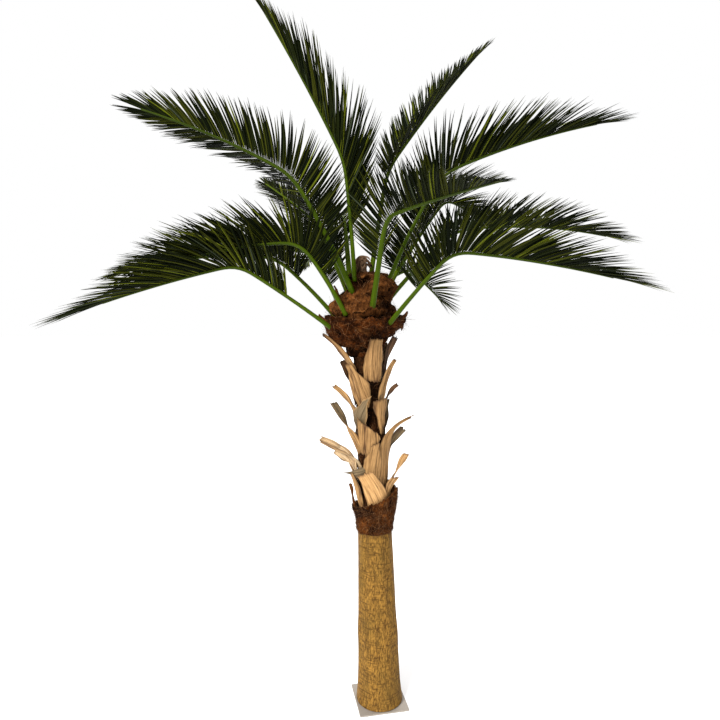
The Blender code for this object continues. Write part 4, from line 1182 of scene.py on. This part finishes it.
pairs = add_node(tree, "GeometryNodeDuplicateElements", {"Geometry": points, "Amount": 2},
                 domain="POINT").outputs
hand = number(tree, "MULTIPLY_ADD", pairs["Duplicate Index"], 2.0, -1.0)
points = stored(tree, pairs["Geometry"], "hand", "FLOAT", hand)
share = named(tree, "share", "FLOAT")
hand = named(tree, "hand", "FLOAT")
ahead = named(tree, "ahead")
# neighbours sway together, so that the rows part here and there
sway = add_node(tree, "ShaderNodeTexNoise", {
    "W": number(tree, "MULTIPLY_ADD", share, 22.0,
                number(tree, "MULTIPLY_ADD", asked["Seed"], 7.3, number(tree, "MULTIPLY", hand, 31.0))),
    "Scale": 1.0, "Detail": 2.0}, noise_dimensions="1D").outputs["Fac"]
sway = number(tree, "MULTIPLY", number(tree, "SUBTRACT", sway, 0.5), 4.0)
opening = number(tree, "MULTIPLY", asked["Open"], curve_of(tree, share, LEAFLET_OPEN, WIDEST))
opening = number(tree, "MULTIPLY_ADD", asked["Spread"],
                 number(tree, "ADD", sway, jitter(tree, -0.5, 0.5, 1)), opening)
opening = number(tree, "RADIANS", number(tree, "MAXIMUM", opening, LEAST_OPEN))
lift = number(tree, "MULTIPLY_ADD", asked["Spread"],
              number(tree, "MULTIPLY_ADD", sway, 0.6, jitter(tree, -1.0, 1.0, 2)),
              curve_of(tree, share, LEAFLET_LIFT, WIDEST))
lift = number(tree, "RADIANS", lift)
outward = swung(tree, scaled(tree, named(tree, "side"), hand), named(tree, "upper"), lift)
way = swung(tree, ahead, outward, opening)
longer = number(tree, "MULTIPLY_ADD", number(tree, "POWER", share, 4.0),
                number(tree, "SUBTRACT", asked["Tip"], 1.0), 1.0)
size = number(tree, "MULTIPLY", number(tree, "MULTIPLY", curve_of(tree, share, LEAFLET_SHARE), longer),
              number(tree, "MULTIPLY", asked["Length"], jitter(tree, 0.86, 1.04, 3)))
girth = number(tree, "MULTIPLY", asked["Width"], number(
    tree, "MULTIPLY_ADD", number(tree, "DIVIDE", size, LEAFLET_LENGTH), 0.45, 0.55))
bow = arrow(tree, "ADD", scaled(tree, ahead, asked["Sweep"]), triple(
    tree, jitter(tree, -0.05, 0.05, 4), jitter(tree, -0.05, 0.05, 5),
    number(tree, "SUBTRACT", jitter(tree, -0.04, 0.04, 6), asked["Sag"])))
# one blade, a metre long and wide, with a crease: it is scaled to each leaflet
section = add_node(tree, "GeometryNodeCurvePrimitiveQuadrilateral", {
    "Point 1": (-0.5, 0.17, 0.0), "Point 2": (0.0, 0.0, 0.0),
    "Point 3": (0.5, 0.17, 0.0), "Point 4": (0.0, -0.06, 0.0)}, mode="POINTS")
blade = swept(tree, LEAF_SEGMENTS + 1, section,
              curve_of(tree, named(tree, "reach", "FLOAT"), LEAFLET_OUTLINE))
set_out(tree, points, blade, turned_to(tree, way, square_to(tree, ahead, way), "Y"),
        triple(tree, size, girth, girth), scaled(tree, bow, size), 7,
        plain_finishes(LEAF_COLOURS, roughness=0.6, gloss=0.03))


def rib_line(name, frames, bare):
    """The leaf-bearing stretch of a rib, as a line of points with its axes."""
    line = [frame_at(frames, bare + (LAST_LEAFLET - bare) * k / FINE_STEPS)
            for k in range(FINE_STEPS + 1)]
    mesh = bpy.data.meshes.new(name)
    mesh.from_pydata([tuple(f[0]) for f in line], [(k, k + 1) for k in range(FINE_STEPS)], [])
    for label, index in (("side", 2), ("upper", 3)):
        axis = mesh.attributes.new(label, "FLOAT_VECTOR", "POINT")
        axis.data.foreach_set("vector", [x for f in line for x in f[index]])
    return mesh


for order, (node, values) in enumerate(FRONDS.items()):
    frond = dict(zip(FROND_KEYS, values))
    bearing_length = frond["length"] * (LAST_LEAFLET - frond["bare"])
    leaf_line = rib_line(node, rib_frames[node], frond["bare"])
    leaf_mesh = grown(node + "_leaflets", leaf_line, leaflet_tree, {
        "Count": round(bearing_length / LEAFLET_PITCH),
        "Length": LEAFLET_LENGTH * frond["leaf"],
        "Open": frond["open"],
        "Tip": frond["tip"],
        "Seed": order + 1,
    })
    new_piece(node + "_leaflets", leaf_mesh, [], [node])

# ------------------------------------------------------- studio: camera and light
# A level pale floor, a camera at standing height that looks slightly down, a
# large soft lamp on the left, a weaker one on the right and an even sky.
CAMERA_PLACE = (-0.1085, -3.1, 2.2217)
CAMERA_DIP = 6.0             # degrees below level
CAMERA_LENS = 29.7
FLOOR_SIDE = 60.0
FLOOR_PALE = (0.93, 0.93, 0.93)

camera_data = bpy.data.cameras.new("camera")
camera_data.lens = CAMERA_LENS
camera_data.sensor_width = 36.0
camera = bpy.data.objects.new("camera", camera_data)
camera.location = CAMERA_PLACE
camera.rotation_euler = (math.radians(90 - CAMERA_DIP), 0.0, 0.0)
bpy.context.scene.collection.objects.link(camera)
bpy.context.scene.camera = camera

floor_mesh = bpy.data.meshes.new("floor")
half = FLOOR_SIDE / 2
floor_mesh.from_pydata([(-half, -half, 0), (half, -half, 0), (half, half, 0), (-half, half, 0)],
                       [], [(0, 1, 2, 3)])
floor = bpy.data.objects.new("floor", floor_mesh)
bpy.context.scene.collection.objects.link(floor)
floor_finish, tree, shader = new_finish("floor_finish", roughness=0.9)
shader.inputs["Base Color"].default_value = (*FLOOR_PALE, 1.0)
floor_mesh.materials.append(floor_finish)


def soft_lamp(name, aim, wide, strength):
    """An even lamp far off that shines along a direction, seen so many degrees wide."""
    data = bpy.data.lights.new(name, "SUN")
    data.angle = math.radians(wide)
    data.energy = strength
    lamp = bpy.data.objects.new(name, data)
    lamp.rotation_euler = Vector(aim).to_track_quat("-Z", "Y").to_euler()
    bpy.context.scene.collection.objects.link(lamp)


soft_lamp("key_lamp", aim=(0.50, 0.72, -0.62), wide=22.0, strength=5.2)
soft_lamp("back_lamp", aim=(-0.3, -0.6, -0.9), wide=30.0, strength=1.0)

world = bpy.data.worlds.new("studio_sky")
world.use_nodes = True
sky = world.node_tree.nodes["Background"]
sky.inputs["Color"].default_value = (1.0, 1.0, 1.0, 1.0)
sky.inputs["Strength"].default_value = 1.0
bpy.context.scene.world = world
bpy.context.scene.view_settings.view_transform = "Standard"
